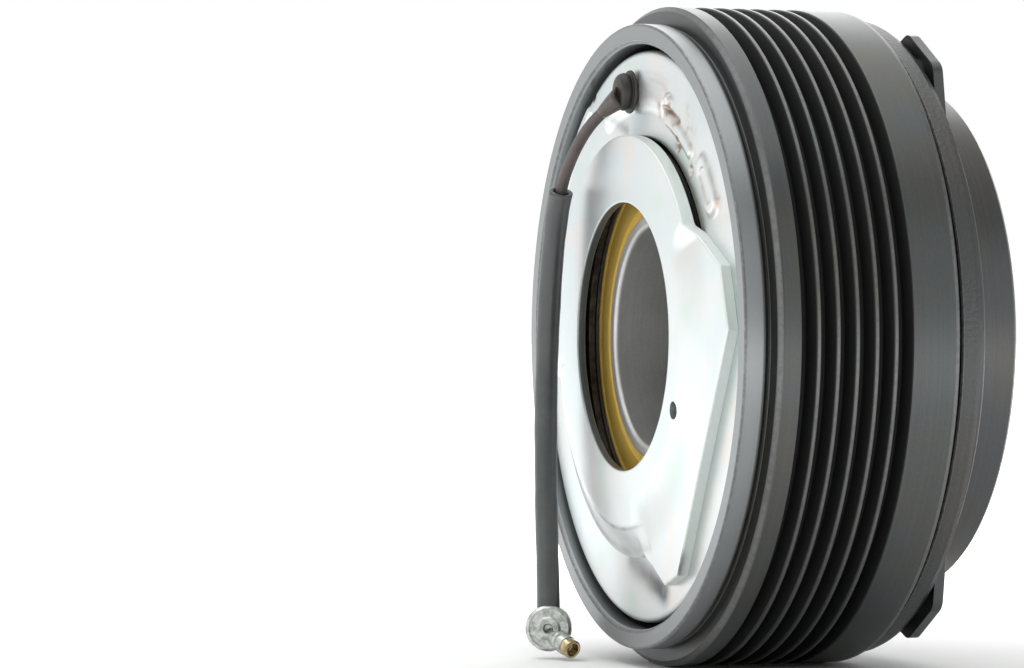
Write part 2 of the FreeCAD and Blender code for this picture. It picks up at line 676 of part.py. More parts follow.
def build():
    """Make every node and write each to its own file."""
    lead = lead_wire()
    tube = lead_tube()
    nodes = {
        "grooved_rim": grooved_rim(),
        "rotor_cup": rotor_cup(),
        "bearing_outer_race": bearing_outer_race(),
        "bearing_inner_race": bearing_inner_race(),
        "bearing_seal_front": bearing_seal(-1),
        "bearing_seal_rear": bearing_seal(1),
        "bearing_cage_front": bearing_cage(-1),
        "bearing_cage_rear": bearing_cage(1),
        "bearing_balls_front": Part.makeCompound(row_of_balls(BALL_R, -ROW_Y)),
        "bearing_balls_rear": Part.makeCompound(row_of_balls(BALL_R, ROW_Y)),
        "bearing_clip": bearing_clip(),
        "coil_housing": coil_housing(),
        "coil_bobbin": coil_bobbin(),
        "coil_winding": coil_winding(),
        "coil_resin": coil_resin(),
        "mounting_plate": mounting_plate(),
        "lead_grommet": lead_grommet(lead),
        "lead_wire": lead,
        "lead_tube": tube,
        "terminal_body": terminal_body(lead, tube),
        "terminal_tip": terminal_tip(),
        "hub_boss": hub_boss(),
        "hub_rivets": hub_rivets(),
        "inner_cup": inner_cup(),
        "air_gap_shims": air_gap_shims(),
        "rubber_damper": rubber_damper(),
        "outer_sleeve": outer_sleeve(),
        "ear_rivets": ear_rivets(),
        "armature_plate": armature_plate(),
    }
    for name, shape in nodes.items():
        print(name, "solids", len(shape.Solids), "valid", shape.isValid(), "volume", round(shape.Volume))
        shape.exportStep(f"parts/{name}.step")


build()
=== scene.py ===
"""Looks of an air-conditioning compressor's electromagnetic clutch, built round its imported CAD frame.

Metres, in the CAD's own frame: the turning axis is Y, the hub faces -Y, the compressor is at +Y and Z
is up. Profiles are given in millimetres, as (radius, y) corners in order round the section, and are
carried round the axis. Angles run from +X towards +Z.
"""

import logging
import math
from dataclasses import dataclass
from enum import Enum
from typing import Callable, Sequence

import bmesh
import bpy
import numpy as np
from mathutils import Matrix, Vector


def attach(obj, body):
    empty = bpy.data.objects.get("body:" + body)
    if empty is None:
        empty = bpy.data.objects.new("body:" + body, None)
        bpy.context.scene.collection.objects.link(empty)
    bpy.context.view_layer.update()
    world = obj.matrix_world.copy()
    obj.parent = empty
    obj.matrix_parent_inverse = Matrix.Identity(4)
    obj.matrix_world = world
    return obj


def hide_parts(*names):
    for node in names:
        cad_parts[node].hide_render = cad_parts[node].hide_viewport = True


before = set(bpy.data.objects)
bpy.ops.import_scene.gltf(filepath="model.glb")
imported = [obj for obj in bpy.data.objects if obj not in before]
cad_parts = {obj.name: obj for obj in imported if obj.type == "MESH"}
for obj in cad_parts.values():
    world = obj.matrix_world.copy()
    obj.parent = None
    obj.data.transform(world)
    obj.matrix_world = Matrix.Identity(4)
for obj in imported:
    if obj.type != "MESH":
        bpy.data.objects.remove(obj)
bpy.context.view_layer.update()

LOG = logging.getLogger("clutch")
MM = 0.001
TAU = 2 * math.pi
Colour = tuple[float, float, float]
Corner = tuple[float, float, float]  # radius, y, rounding, all in millimetres
Circle = tuple[float, float, float]  # radius, y, width, all in millimetres
Spot = tuple[float, float, float, float]  # x, z, reach in millimetres, and strength
Flat = tuple[float, float]  # x, z in millimetres

ZINC_BLUE: Colour = (0.62, 0.68, 0.69)
ZINC_WHITE: Colour = (0.69, 0.71, 0.70)
ZINC_GREEN: Colour = (0.60, 0.69, 0.64)
ZINC_PINK: Colour = (0.71, 0.66, 0.63)
ZINC_SCUFFED: Colour = (0.48, 0.52, 0.53)
ZINC_FILM_AND_SHADE: Colour = (0.48, 0.47, 0.44)
# The next colour is painted shadow and dark reflection on zinc.
ZINC_SHADOWED: Colour = (0.05, 0.055, 0.055)
# The next colour is a painted highlight on the plate's cut edge, faintly green.
CUT_EDGE_HIGHLIGHT: Colour = (0.74, 0.805, 0.775)
# The next colour is painted shade on the wall of the plate's opening.
OPENING_WALL_SHADE: Colour = (0.22, 0.24, 0.235)
RUST_HALO: Colour = (0.66, 0.56, 0.50)
RUST: Colour = (0.20, 0.10, 0.05)
BROWN_RESIN: Colour = (0.30, 0.09, 0.03)


# Shader expressions ----------------------------------------------------------------------------


class Wire:
    """A shader socket in a Python expression: each operator adds the node that works it out."""

    def __init__(self, graph: "Graph", socket: bpy.types.NodeSocket) -> None:
        """Wraps a socket of a graph."""
        self.graph = graph
        self.socket = socket

    def math(self, operation: str, *others: "Wire | float", swapped: bool = False) -> "Wire":
        """Adds a Math node.

        Args:
            operation: The node's operation.
            others: The second and third values, where it takes them.
            swapped: True to put this socket second.

        Returns:
            The node's value.
        """
        values = [*others, self] if swapped else [self, *others]
        return self.graph.node("ShaderNodeMath", {"operation": operation}, dict(enumerate(values)))

    def __add__(self, other: "Wire | float") -> "Wire":
        """The sum."""
        return self.math("ADD", other)

    __radd__ = __add__

    def __sub__(self, other: "Wire | float") -> "Wire":
        """The difference."""
        return self.math("SUBTRACT", other)

    def __rsub__(self, other: float) -> "Wire":
        """A number less this."""
        return self.math("SUBTRACT", other, swapped=True)

    def __mul__(self, other: "Wire | float") -> "Wire":
        """The product."""
        return self.math("MULTIPLY", other)

    __rmul__ = __mul__

    def __pow__(self, other: float) -> "Wire":
        """The power."""
        return self.math("POWER", other)

    def ramp(self, low: float, high: float) -> "Wire":
        """A smooth step: 0 below low and 1 above high, or the other way round where low is larger."""
        return self.graph.node(
            "ShaderNodeMapRange", {"interpolation_type": "SMOOTHSTEP", "clamp": True},
            {"Value": self, "From Min": low, "From Max": high, "To Min": 0.0, "To Max": 1.0},
        )

    def largest(self, other: "Wire | float") -> "Wire":
        """The larger of two values."""
        return self.math("MAXIMUM", other)


class Graph:
    """The node tree of one material, with a Principled shader at its end."""

    def __init__(self, name: str) -> None:
        """Makes the material and its shader."""
        self.material = bpy.data.materials.new(name)
        self.material.use_nodes = True
        self.tree = self.material.node_tree
        self.tree.nodes.clear()
        output = self.tree.nodes.new("ShaderNodeOutputMaterial")
        self.shader = self.tree.nodes.new("ShaderNodeBsdfPrincipled")
        self.tree.links.new(self.shader.outputs[0], output.inputs["Surface"])

    def node(
        self, kind: str, settings: dict[str, object] | None = None,
        inputs: dict[str | int, object] | None = None, output: str | int = 0,
    ) -> Wire:
        """Adds a node.

        Args:
            kind: The node's type.
            settings: Its properties, set first.
            inputs: Values or wires for its sockets.
            output: The socket to return.

        Returns:
            The output as a wire.
        """
        made = self.tree.nodes.new(kind)
        for key, value in (settings or {}).items():
            setattr(made, key, value)
        for key, value in (inputs or {}).items():
            self.feed(made.inputs[key], value)
        return Wire(self, made.outputs[output])

    def feed(self, socket: bpy.types.NodeSocket, value: object) -> None:
        """Links a wire to a socket, or sets its value, giving a colour its alpha.

        Args:
            socket: The socket to feed.
            value: A wire, or a value of the socket's own kind.
        """
        if isinstance(value, Wire):
            self.tree.links.new(value.socket, socket)
        elif isinstance(value, tuple) and len(value) == 3 and socket.type == "RGBA":
            socket.default_value = (*value, 1.0)
        else:
            socket.default_value = value

    def surface(self, **values: object) -> bpy.types.Material:
        """Sets the shader's sockets.

        Args:
            values: Values or wires, by the socket's name with underscores for spaces.

        Returns:
            The material.
        """
        for key, value in values.items():
            self.feed(self.shader.inputs[key.replace("_", " ")], value)
        return self.material

    def place(self) -> tuple[Wire, Wire, Wire]:
        """The object coordinates in millimetres, as three wires."""
        here = self.node("ShaderNodeTexCoord", output="Object")
        parts = [self.node("ShaderNodeSeparateXYZ", inputs={0: here}, output=i) for i in range(3)]
        x, y, z = (part * (1 / MM) for part in parts)
        return x, y, z

    def painted(self, name: str) -> Wire:
        """A value painted on the mesh's points."""
        return self.node("ShaderNodeAttribute", {"attribute_name": name}, output="Fac")

    def vector(self, x: Wire | float, y: Wire | float, z: Wire | float) -> Wire:
        """Three values as a vector."""
        return self.node("ShaderNodeCombineXYZ", inputs={0: x, 1: y, 2: z})

    def noise(self, vector: Wire, scale: float = 1.0, detail: float = 2.0, rough: float = 0.5) -> Wire:
        """Smooth noise round 0.5."""
        return self.node(
            "ShaderNodeTexNoise", inputs={"Vector": vector, "Scale": scale, "Detail": detail,
                                          "Roughness": rough},
        )

    def mix(self, one: object, other: object, factor: Wire | float) -> Wire:
        """A colour between two, by a factor."""
        return self.node(
            "ShaderNodeMix", {"data_type": "RGBA", "clamp_factor": True}, {0: factor, 6: one, 7: other}, 2,
        )

    def bump(self, height: Wire, depth_mm: float, under: Wire | None = None) -> Wire:
        """A normal from a height.

        Args:
            height: The height, between 0 and 1.
            depth_mm: How deep it is, in millimetres.
            under: Another bump that it lies over.

        Returns:
            The normal.
        """
        inputs: dict[str | int, object] = {"Height": height, "Distance": depth_mm * MM, "Strength": 1.0}
        if under is not None:
            inputs["Normal"] = under
        return self.node("ShaderNodeBump", inputs=inputs)


@dataclass(frozen=True)
class TurnedPlace:
    """Where a point is on a turned piece: millimetres from the axis and along it, and a point grid."""

    x: Wire
    y: Wire
    z: Wire
    radius: Wire
    grid: Wire

    @classmethod
    def of(cls, graph: Graph) -> "TurnedPlace":
        """Reads the place from the object coordinates."""
        x, y, z = graph.place()
        return cls(x, y, z, (x * x + z * z) ** 0.5, graph.vector(x, y, z))

    def rings(self, graph: Graph, per_mm: float) -> Wire:
        """Fine marks round the axis, as a turning tool leaves them, which drift slowly round the piece."""
        drift = self.x * 0.02 + self.z * 0.013
        return graph.noise(graph.vector(self.radius * per_mm, self.y * per_mm, drift), 1.0, 3.0, 0.65)

    def line(self, radius: float, y: float, width: float) -> Wire:
        """A mask of a circle round the axis.

        Args:
            radius: The circle's radius, in millimetres.
            y: Its place along the axis.
            width: How far from it the mask ends.

        Returns:
            The mask: 1 near the circle and 0 a width away from it.
        """
        out = self.radius - radius
        along = self.y - y
        return ((out * out + along * along) ** 0.5).ramp(width, width * 0.25)


# Finishes --------------------------------------------------------------------------------------


@dataclass(frozen=True)
class TurnedSteel:
    """Turned steel, bare or darkened: ring marks, cloudy tone, and edges that wear bright.

    Attributes:
        name: The material's name.
        cool: The bare tone.
        warm: The tone of its brownish clouds.
        roughness: Its mean roughness.
        edges: Circles (radius, y, width) that are worn bright, in millimetres.
        worn: The colour of a worn edge.
        marks: How deep the turning marks are, in micrometres.
        metallic: How metallic it is.
        shade_below: A pair of radii between which painted shade darkens the tone, in the belt grooves.
        shade_until: Where along the axis those grooves end.
        dark: The colour of that painted shade.
        pale_beyond: Where along the axis the steel turns paler, as on a bare machined lip.
        pale: The colour beyond it.
        coarse: How deep its coarse skin is, in micrometres.
        marks_per_mm: How many turning marks there are in a millimetre.
    """

    name: str
    cool: Colour
    warm: Colour
    roughness: float = 0.36
    edges: tuple[Circle, ...] = ()
    worn: Colour = (0.20, 0.20, 0.195)
    marks: float = 4.0
    metallic: float = 0.85
    shade_below: tuple[float, float] | None = None
    shade_until: float = 99.0
    dark: Colour = (0.0045, 0.0045, 0.005)
    pale_beyond: float | None = None
    pale: Colour = (0.27, 0.285, 0.29)
    coarse: float = 0.0
    marks_per_mm: float = 5.0

    def material(self) -> bpy.types.Material:
        """Builds the material and returns it."""
        graph = Graph(self.name)
        at = TurnedPlace.of(graph)
        rings = at.rings(graph, self.marks_per_mm)
        clouds = graph.noise(at.grid, 0.045, 4.0, 0.6)
        grain = graph.noise(at.grid, 2.6, 3.0, 0.7)
        colour = graph.mix(self.cool, self.warm, clouds.ramp(0.38, 0.68))
        shade = (rings - 0.5) * 0.5 + (grain - 0.5) * 0.35 + 1.0
        colour = graph.node(
            "ShaderNodeVectorMath", {"operation": "SCALE"}, {0: colour, "Scale": shade},
        )
        roughness = (rings - 0.5) * 0.16 + (clouds - 0.5) * 0.18 + self.roughness
        metallic: Wire | float = self.metallic
        # Painted shade in the belt grooves: below the crests the tone falls to the dark colour, and turns
        # rougher and less metallic.
        if self.shade_below is not None:
            depth = at.radius.ramp(*self.shade_below) * at.y.ramp(self.shade_until + 0.1, self.shade_until)
            colour = graph.mix(colour, self.dark, depth)
            roughness = roughness + depth * 0.35
            metallic = self.metallic - depth * 0.6
        if self.pale_beyond is not None:
            colour = graph.mix(colour, self.pale, at.y.ramp(self.pale_beyond, self.pale_beyond + 0.4) * shade)
        if self.edges:
            chips = graph.noise(at.grid, 0.9, 4.0, 0.7).ramp(0.34, 0.58)
            edge: Wire | float = 0.0
            for circle in self.edges:
                edge = at.line(*circle).largest(edge)
            colour = graph.mix(colour, self.worn, edge * (chips * 0.6 + 0.4))
        bump = graph.bump(rings * 0.7 + grain * 0.3, self.marks * MM)
        if self.coarse:
            bump = graph.bump(graph.noise(at.grid, 1.3, 3.0, 0.6), self.coarse * MM, bump)
        return graph.surface(Base_Color=colour, Metallic=metallic, Roughness=roughness, Normal=bump)


@dataclass(frozen=True)
class ZincPlate:
    """Blue-white zinc plating on pressed steel: nearly white, with faint tints, rolling lines and stains.

    Attributes:
        name: The material's name.
        dirt_and_shade: The painted value that says where dirt gathers on the housing, and where painted shade
            falls in the plate's folds, if the mesh has one.
        dirt_and_shade_tone: The colour of that dirt, and of that painted shade.
        wall: The painted value that says where the sheet's cut edge is, which takes a painted highlight, if
            the mesh has one.
        shaded_opening: The radius of an opening whose wall is darkened with painted shade, or 0.
        shade: The painted value that says where painted shadow and dark reflection darken the plating, if the
            mesh has one.
        stains: Brown stains (x, z, reach, strength), in millimetres.
        holes: Spots (x, z, radius) where brown resin shows in a hole.
        floor: The y below which those spots are resin.
    """

    name: str
    dirt_and_shade: str | None = None
    dirt_and_shade_tone: Colour = (0.11, 0.055, 0.03)
    wall: str | None = None
    shaded_opening: float = 0.0
    shade: str | None = None
    stains: tuple[Spot, ...] = ()
    holes: tuple[tuple[float, float, float], ...] = ()
    floor: float = 0.0

    def material(self) -> bpy.types.Material:
        """Builds the material and returns it."""
        graph = Graph(self.name)
        at = TurnedPlace.of(graph)
        clouds = graph.noise(at.grid, 0.05, 3.0, 0.55)
        tints = graph.noise(graph.vector(at.z, at.x, at.y), 0.075, 2.0, 0.5)
        scuffs = graph.noise(graph.vector(at.x * 0.5, at.y, at.z * 3.2), 0.8, 5.0, 0.7)
        colour = graph.mix(ZINC_BLUE, ZINC_WHITE, clouds.ramp(0.35, 0.65))
        colour = graph.mix(colour, ZINC_GREEN, tints.ramp(0.54, 0.68) * 0.7)
        colour = graph.mix(colour, ZINC_PINK, tints.ramp(0.44, 0.30) * 0.6)
        colour = graph.mix(colour, ZINC_SCUFFED, scuffs.ramp(0.62, 0.80) * 0.35)
        roughness = (clouds - 0.5) * 0.14 + (scuffs - 0.5) * 0.12 + 0.34
        blots = graph.noise(at.grid, 0.35, 2.0, 0.5)
        metallic: Wire | float = 0.92
        # Dirt along the housing's tracks, and painted shade in the plate's folds, both darken the zinc here.
        if self.dirt_and_shade is not None:
            dirt = graph.painted(self.dirt_and_shade)
            colour = graph.mix(colour, ZINC_FILM_AND_SHADE, dirt * 0.6)
            colour = graph.mix(colour, self.dirt_and_shade_tone, dirt * (blots.ramp(0.40, 0.60) * 0.5 + 0.4))
            metallic = metallic - dirt * 0.4
        # Painted highlight: the cut edge is painted a pale, faintly green tone and made less metallic; clean
        # is 1 away from painted shade.
        if self.wall is not None:
            cut = graph.painted(self.wall)
            clean = 1 - graph.painted(self.dirt_and_shade or self.wall)
            colour = graph.mix(colour, CUT_EDGE_HIGHLIGHT, cut * clean)
            metallic = metallic - cut * 0.7
        # Painted shade on the wall of the opening.
        if self.shaded_opening:
            opening = at.radius.ramp(self.shaded_opening + 0.2, self.shaded_opening)
            colour = graph.mix(colour, OPENING_WALL_SHADE, opening)
        # Painted shadow and dark reflection, mottled a little by the blots.
        if self.shade is not None:
            colour = graph.mix(colour, ZINC_SHADOWED, graph.painted(self.shade) * (blots * 0.5 + 0.65))
        for x, z, reach, strength in self.stains:
            near = self._near(at, x, z).ramp(reach, reach * 0.2)
            colour = graph.mix(colour, RUST_HALO, near * strength * 0.6)
            colour = graph.mix(colour, RUST, near * blots.ramp(0.50, 0.70) * strength)
        for x, z, radius in self.holes:
            inside = self._near(at, x, z).ramp(radius * 1.05, radius * 0.8)
            inside = inside * at.y.ramp(self.floor, self.floor - 0.3)
            colour = graph.mix(colour, BROWN_RESIN, inside)
            metallic = metallic - inside
        return graph.surface(
            Base_Color=colour, Metallic=metallic, Roughness=roughness,
            Normal=graph.bump(scuffs * 0.6 + clouds, 0.004),
        )

    @staticmethod
    def _near(at: TurnedPlace, x: float, z: float) -> Wire:
        """The distance from a line along the axis at (x, z)."""
        across, up = at.x - x, at.z - z
        return (across * across + up * up) ** 0.5


@dataclass(frozen=True)
class Moulded:
    """Rubber or plastic: a soft tone with mottling, dust and a fine moulded grain.

    Attributes:
        name: The material's name.
        tone: Its colour.
        dust: The colour of its lighter mottling.
        roughness: Its mean roughness.
        grain: How deep the grain is, in micrometres.
        coat: How glossy a coat it has.
        mottling: How much of the dust colour shows.
    """

    name: str
    tone: Colour
    dust: Colour
    roughness: float = 0.5
    grain: float = 12.0
    coat: float = 0.0
    mottling: float = 0.5

    def material(self) -> bpy.types.Material:
        """Builds the material and returns it."""
        graph = Graph(self.name)
        at = TurnedPlace.of(graph)
        clouds = graph.noise(at.grid, 0.11, 4.0, 0.6)
        fine = graph.noise(at.grid, 3.5, 3.0, 0.7)
        colour = graph.mix(self.tone, self.dust, clouds.ramp(0.42, 0.72) * self.mottling)
        colour = graph.mix(colour, self.dust, fine.ramp(0.62, 0.80) * self.mottling * 0.6)
        roughness = (clouds - 0.5) * 0.2 + (fine - 0.5) * 0.1 + self.roughness
        return graph.surface(
            Base_Color=colour, Roughness=roughness, Coat_Weight=self.coat,
            Normal=graph.bump(fine * 0.7 + clouds * 0.3, self.grain * MM),
        )


@dataclass(frozen=True)
class PlainMetal:
    """Small bare or plated metal pieces: scratches in every direction, with duller and darker patches.

    Attributes:
        name: The material's name.
        bright: Its colour where clean.
        dull: Its colour where tarnished.
        roughness: Its mean roughness.
        scale: How many features there are per millimetre.
    """

    name: str
    bright: Colour
    dull: Colour
    roughness: float = 0.3
    scale: float = 0.5

    def material(self) -> bpy.types.Material:
        """Builds the material and returns it."""
        graph = Graph(self.name)
        at = TurnedPlace.of(graph)
        patches = graph.noise(at.grid, self.scale, 5.0, 0.65)
        scratches = graph.noise(graph.vector(at.x * 0.4, at.y * 4.0, at.z * 1.3), self.scale * 2, 4.0, 0.7)
        colour = graph.mix(self.bright, self.dull, patches.ramp(0.38, 0.66))
        roughness = (patches - 0.5) * 0.3 + (scratches - 0.5) * 0.2 + self.roughness
        return graph.surface(
            Base_Color=colour, Metallic=1.0, Roughness=roughness,
            Normal=graph.bump(scratches + patches, 0.006),
        )


# Surfaces --------------------------------------------------------------------------------------


def rounded(corners: Sequence[Corner], steps: int = 4) -> np.ndarray:
    """A closed outline with round corners.

    Each corner is replaced by the arc that touches both of its sides: the arc's centre lies on the
    corner's bisector, and its points are the centre plus the rounding times a unit vector that turns
    evenly from one side's normal to the other's. A point just outside each end keeps flat faces flat.

    Args:
        corners: (radius, y, rounding) in order round the section, in millimetres.
        steps: The number of faces on each arc.

    Returns:
        An array of (radius, y) points in millimetres.
    """
    points = np.array([corner[:2] for corner in corners], dtype=float)
    runs = []
    for i, (_, _, soft) in enumerate(corners):
        here = points[i]
        back, ahead = points[i - 1] - here, points[(i + 1) % len(points)] - here
        back_long, ahead_long = np.linalg.norm(back), np.linalg.norm(ahead)
        back, ahead = back / back_long, ahead / ahead_long
        half = 0.5 * math.acos(float(np.clip(back @ ahead, -1, 1)))
        cut = min(soft / max(math.tan(half), 1e-6), 0.48 * back_long, 0.48 * ahead_long)
        size = cut * math.tan(half)
        bisector = back + ahead
        centre = here + bisector / np.linalg.norm(bisector) * math.hypot(cut, size)
        start, end = here + back * cut - centre, here + ahead * cut - centre
        share = np.linspace(0, 1, steps + 1)[:, None]
        turn = math.acos(float(np.clip(start @ end / size**2, -1, 1)))
        arc = (np.sin((1 - share) * turn) * start + np.sin(share * turn) * end) / math.sin(turn)
        past = cut + 0.15 * size
        before = here + back * min(past, 0.49 * back_long)
        beyond = here + ahead * min(past, 0.49 * ahead_long)
        runs.append(np.vstack([[before], centre + arc, [beyond]]))
    return np.vstack(runs)


def closed_surface(name: str, points: np.ndarray, material: bpy.types.Material) -> bpy.types.Object:
    """A closed surface from a grid of points that wraps both ways.

    Args:
        name: The piece's name.
        points: An array (columns, rows, 3) in metres.
        material: Its finish.

    Returns:
        The object, smooth, with its faces outwards.
    """
    columns, rows = points.shape[:2]
    i, j = np.meshgrid(np.arange(columns), np.arange(rows), indexing="ij")
    after, above = (i + 1) % columns, (j + 1) % rows
    quads = np.stack([i * rows + j, after * rows + j, after * rows + above, i * rows + above], -1)
    return mesh_piece(name, points.reshape(-1, 3), quads.reshape(-1, 4), material)


def in_scene(name: str, data: bpy.types.ID) -> bpy.types.Object:
    """Puts a new object into the scene and returns it."""
    made = bpy.data.objects.new(name, data)
    bpy.context.scene.collection.objects.link(made)
    return made


def finished_mesh(thing: bpy.types.Object) -> bpy.types.Mesh:
    """A new mesh of a thing, as its modifiers or its spline leave it."""
    bpy.context.view_layer.update()
    return bpy.data.meshes.new_from_object(thing.evaluated_get(bpy.context.evaluated_depsgraph_get()))


def mesh_piece(
    name: str, points: np.ndarray, quads: np.ndarray, material: bpy.types.Material,
) -> bpy.types.Object:
    """A smooth mesh, turned inside out if the volume inside its faces comes out negative.

    Args:
        name: The piece's name.
        points: An array (points, 3) in metres.
        quads: An array (faces, 4) of the points' numbers.
        material: Its finish.

    Returns:
        The object.
    """
    corners = points[quads]
    first = np.cross(corners[:, 1] - corners[:, 0], corners[:, 2] - corners[:, 0])
    second = np.cross(corners[:, 2] - corners[:, 0], corners[:, 3] - corners[:, 0])
    if ((first + second) * corners.mean(axis=1)).sum() < 0:
        quads = quads[:, ::-1]
    mesh = bpy.data.meshes.new(name)
    mesh.vertices.add(len(points))
    mesh.vertices.foreach_set("co", points.astype(np.float32).ravel())
    mesh.loops.add(quads.size)
    mesh.loops.foreach_set("vertex_index", quads.astype(np.int32).ravel())
    mesh.polygons.add(len(quads))
    mesh.polygons.foreach_set("loop_start", np.arange(0, quads.size, 4, dtype=np.int32))
    mesh.update(calc_edges=True)
    mesh.validate()
    mesh.shade_smooth()
    mesh.materials.append(material)
    return in_scene(name, mesh)


@dataclass(frozen=True)
class Spindle:
    """A line that pieces are turned round: a point in millimetres and a direction."""

    origin: Corner = (0.0, 0.0, 0.0)
    axis: Corner = (0.0, 1.0, 0.0)

    def sides(self) -> tuple[np.ndarray, np.ndarray, np.ndarray]:
        """The line's unit axis and what is square to it.

        Returns:
            The unit axis, and two unit directions square to it and to each other.
        """
        axis = np.array(self.axis) / np.linalg.norm(self.axis)
        helper = np.eye(3)[int(np.argmin(np.abs(axis)))]
        first = helper - axis * (helper @ axis)
        first = first / np.linalg.norm(first)
        return axis, first, np.cross(first, axis)


MAIN = Spindle()


def turned(
    name: str, corners: Sequence[Corner], material: bpy.types.Material, around: int = 256, steps: int = 4,
    spindle: Spindle = MAIN,
) -> bpy.types.Object:
    """A turned ring: each point of the rounded section, carried round a spindle.

    With the spindle's origin o, axis k and sides u and v, a section's point (r, t) goes to
    o + t k + r (cos a u + sin a v). A section that starts and ends on the axis closes there.

    Args:
        name: The piece's name.
        corners: The section, in millimetres.
        material: Its finish.
        around: The number of columns.
        steps: The number of faces on each rounded corner.
        spindle: The line it is turned round.

    Returns:
        The object.
    """
    section = rounded(corners, steps)
    axis, first, second = spindle.sides()
    angle = np.arange(around)[:, None, None] * TAU / around
    radius, along = section[None, :, :1], section[None, :, 1:]
    grid = np.array(spindle.origin) + along * axis + radius * (np.cos(angle) * first + np.sin(angle) * second)
    piece = closed_surface(name, grid * MM, material)
    if section[:, 0].min() < 1e-6:
        close_poles(piece.data)
    return piece


def close_poles(mesh: bpy.types.Mesh) -> None:
    """Joins the points that meet on the axis into one, and clears what is left with no face.

    Args:
        mesh: The mesh, which is changed.
    """
    work = bmesh.new()
    work.from_mesh(mesh)
    bmesh.ops.remove_doubles(work, verts=work.verts, dist=1e-8)
    bmesh.ops.delete(work, geom=[vert for vert in work.verts if not vert.link_faces], context="VERTS")
    bmesh.ops.delete(work, geom=[edge for edge in work.edges if not edge.link_faces], context="EDGES")
    work.to_mesh(mesh)
    work.free()


def swept(
    name: str, path: np.ndarray, section: Callable[[np.ndarray], np.ndarray], rows: np.ndarray,
    material: bpy.types.Material, around: int = 48,
) -> bpy.types.Object:
    """A hollow tube along a path.

    Row i of the tube's skin is a circle of radius section(i) round the path's point at rows[i], square
    to the path there. The rows run along the outside and back along the inside, so the skin is closed.

    Args:
        name: The piece's name.
        path: Points along its middle, in metres.
        section: The radius of each row in millimetres, from the row's number.
        rows: The index of the path's point for each row.
        material: Its finish.
        around: The number of points round the tube.

    Returns:
        The object.
    """
    ahead = np.gradient(path, axis=0)
    ahead /= np.linalg.norm(ahead, axis=1)[:, None]
    side = np.cross(ahead, [0.0, 1.0, 0.0])
    side /= np.linalg.norm(side, axis=1)[:, None]
    other = np.cross(ahead, side)
    radius = section(np.arange(len(rows)))[None, :, None] * MM
    angle = np.arange(around)[:, None, None] * TAU / around
    grid = path[rows] + radius * (np.cos(angle) * side[rows] + np.sin(angle) * other[rows])
    return closed_surface(name, grid, material)


def paint(piece: bpy.types.Object, name: str, values: np.ndarray) -> None:
    """Paints a value on each of a piece's points, for its material to read."""
    layer = piece.data.attributes.new(name, "FLOAT", "POINT")
    layer.data.foreach_set("value", values.astype(np.float32).ravel())


def bored(piece: bpy.types.Object, centre: Flat, radius: float) -> None:
    """Cuts a round hole through a piece along the axis, and keeps its edges sharp.

    Args:
        piece: The piece.
        centre: The hole's (x, z) in millimetres.
        radius: Its radius in millimetres.
    """
    sides = 48
    angle = np.arange(sides) * TAU / sides
    x, z = centre[0] + radius * np.cos(angle), centre[1] + radius * np.sin(angle)
    ends = [np.stack([x, np.full(sides, y), z], -1) * MM for y in (0.0, 30.0)]
    faces = [(i, (i + 1) % sides, sides + (i + 1) % sides, sides + i) for i in range(sides)]
    caps = [tuple(range(sides)), tuple(range(2 * sides - 1, sides - 1, -1))]
    mesh = bpy.data.meshes.new("cutter")
    mesh.from_pydata(np.vstack(ends), [], faces + caps)
    cutter = in_scene("cutter", mesh)
    cut = piece.modifiers.new("hole", "BOOLEAN")
    cut.object, cut.operation, cut.solver = cutter, "DIFFERENCE", "EXACT"
    result = finished_mesh(piece)
    piece.modifiers.clear()
    old, piece.data = piece.data, result
    bpy.data.meshes.remove(old)
    bpy.data.objects.remove(cutter)
    bpy.data.meshes.remove(mesh)
    result.name = piece.name
    result.shade_smooth()
    result.set_sharp_from_angle(angle=math.radians(50))


def step(value: np.ndarray, low: float, high: float) -> np.ndarray:
    """A smooth step from 0 at low to 1 at high, for arrays."""
    share = np.clip((value - low) / (high - low), 0, 1)
    return share * share * (3 - 2 * share)


def dress(node: str, material: bpy.types.Material) -> None:
    """Gives a CAD node a finish."""
    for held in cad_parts[node].material_slots:
        held.material = material


def place_piece(piece: bpy.types.Object, body: str, slot: str, *nodes: str) -> bpy.types.Object:
    """Gives a piece its place in the assembly.

    Args:
        piece: The piece.
        body: The body that it rides on.
        slot: A material slot's name; it is not used.
        nodes: The CAD nodes that it stands for.

    Returns:
        The piece.
    """
    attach(piece, body)
    if nodes:
        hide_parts(*nodes)
    LOG.info("%s rides on %s and stands for %s", piece.name, body, ", ".join(nodes) or "nothing")
    return piece


# Pulley ----------------------------------------------------------------------------------------


